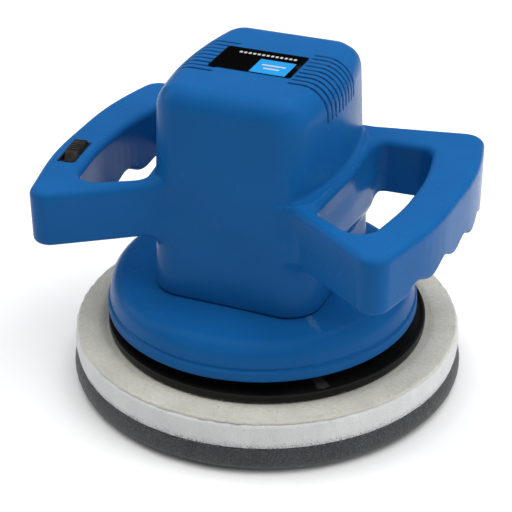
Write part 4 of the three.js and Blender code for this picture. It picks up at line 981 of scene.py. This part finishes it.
def dress_frame():
    """Gives the CAD nodes that stay their materials and crisp, slightly rounded edges."""
    slots = {part["node"]: part["material_slot"] for part in RECORD["subparts"]}
    for name, obj in NODES.items():
        obj.data.materials.clear()
        obj.data.materials.append(MATERIALS[slots[name]])
        if obj.hide_render:
            continue
        if "custom_normal" in obj.data.attributes:
            obj.data.attributes.remove(obj.data.attributes["custom_normal"])
        obj.data.shade_smooth()
        weld = obj.modifiers.new("weld", "WELD")
        weld.merge_threshold = 0.01 * MM
        bevel = obj.modifiers.new("edges", "BEVEL")
        bevel.width = 0.15 * MM
        bevel.segments = 2
        bevel.limit_method = "ANGLE"
        bevel.angle_limit = math.radians(38)
        bevel.harden_normals = True


# ---- stage --------------------------------------------------------------------------
TARGET = Vector((0, 0, 0.060))
AZIMUTH, ELEVATION = math.radians(23.41), math.radians(30.46)
DISTANCE = 0.9434
LENS, SENSOR = 105.6, 36.0
AIM_LEFT, AIM_UP = 0.0041, 0.0137  # where the view's middle lies from the target, as tangents
ROLL = math.radians(0.55)


def add_camera():
    ray = Vector((math.cos(ELEVATION) * math.sin(AZIMUTH), -math.cos(ELEVATION) * math.cos(AZIMUTH),
                  math.sin(ELEVATION)))
    camera = bpy.data.objects.new("camera", bpy.data.cameras.new("camera"))
    camera.location = TARGET + ray * DISTANCE
    right = Vector((math.cos(AZIMUTH), math.sin(AZIMUTH), 0))
    aim = -ray - right * AIM_LEFT + right.cross(-ray) * AIM_UP
    turn = Matrix.Rotation(ROLL, 3, aim) @ aim.to_track_quat("-Z", "Y").to_matrix()
    camera.rotation_euler = turn.to_euler()
    camera.data.lens = LENS
    camera.data.sensor_width = SENSOR
    camera.data.clip_start = 0.01
    bpy.context.scene.collection.objects.link(camera)
    bpy.context.scene.camera = camera


def add_softbox(name, place, aim, size, power, mirrored):
    """A rectangular studio light; one that isn't mirrored leaves no reflection of itself."""
    light = bpy.data.lights.new(name, "AREA")
    light.shape = "RECTANGLE"
    light.size, light.size_y = size
    light.energy = power
    lamp = bpy.data.objects.new(name, light)
    lamp.location = place
    lamp.visible_glossy = mirrored
    lamp.rotation_euler = (Vector(aim) - Vector(place)).to_track_quat("-Z", "Y").to_euler()
    bpy.context.scene.collection.objects.link(lamp)


def add_stage():
    size = 6
    floor = mesh_object("floor", np.array([(-size, -size, 0), (size, -size, 0), (size, size, 0),
                                           (-size, size, 0)]) / MM, [(0, 1, 2, 3)], smooth=False)
    s = Shader("floor_paper", roughness=0.9)
    paper = s.mixed(s.ranged(s.noise(3, 2), 0.3, 0.7, 0, 1), (0.90, 0.90, 0.90), (0.92, 0.92, 0.92))
    s.done(paper, 0.9, s.bump(s.noise(900, 2), 0.02 * MM))
    floor.data.materials.append(s.material)
    world = bpy.data.worlds.new("studio")
    world.use_nodes = True
    world.node_tree.nodes["Background"].inputs[0].default_value = (1, 1, 1, 1)
    world.node_tree.nodes["Background"].inputs[1].default_value = 0.22
    bpy.context.scene.world = world
    add_softbox("softbox_top", (0.1, 0.15, 1.5), (0, 0, 0.1), (2.4, 2.4), 42, False)
    add_softbox("softbox_left", (-1.3, -0.25, 0.75), (0, 0, 0.1), (0.9, 1.2), 4, True)
    add_softbox("softbox_right", (1.4, 0.1, 0.7), (0, 0, 0.1), (1.6, 1.6), 10, False)
    bpy.context.scene.view_settings.view_transform = "Standard"


add_camera()
build_materials()
build_housing()
build_base()
build_plate()
build_pad()
build_label()
build_switch()
build_gland()
dress_frame()
add_stage()
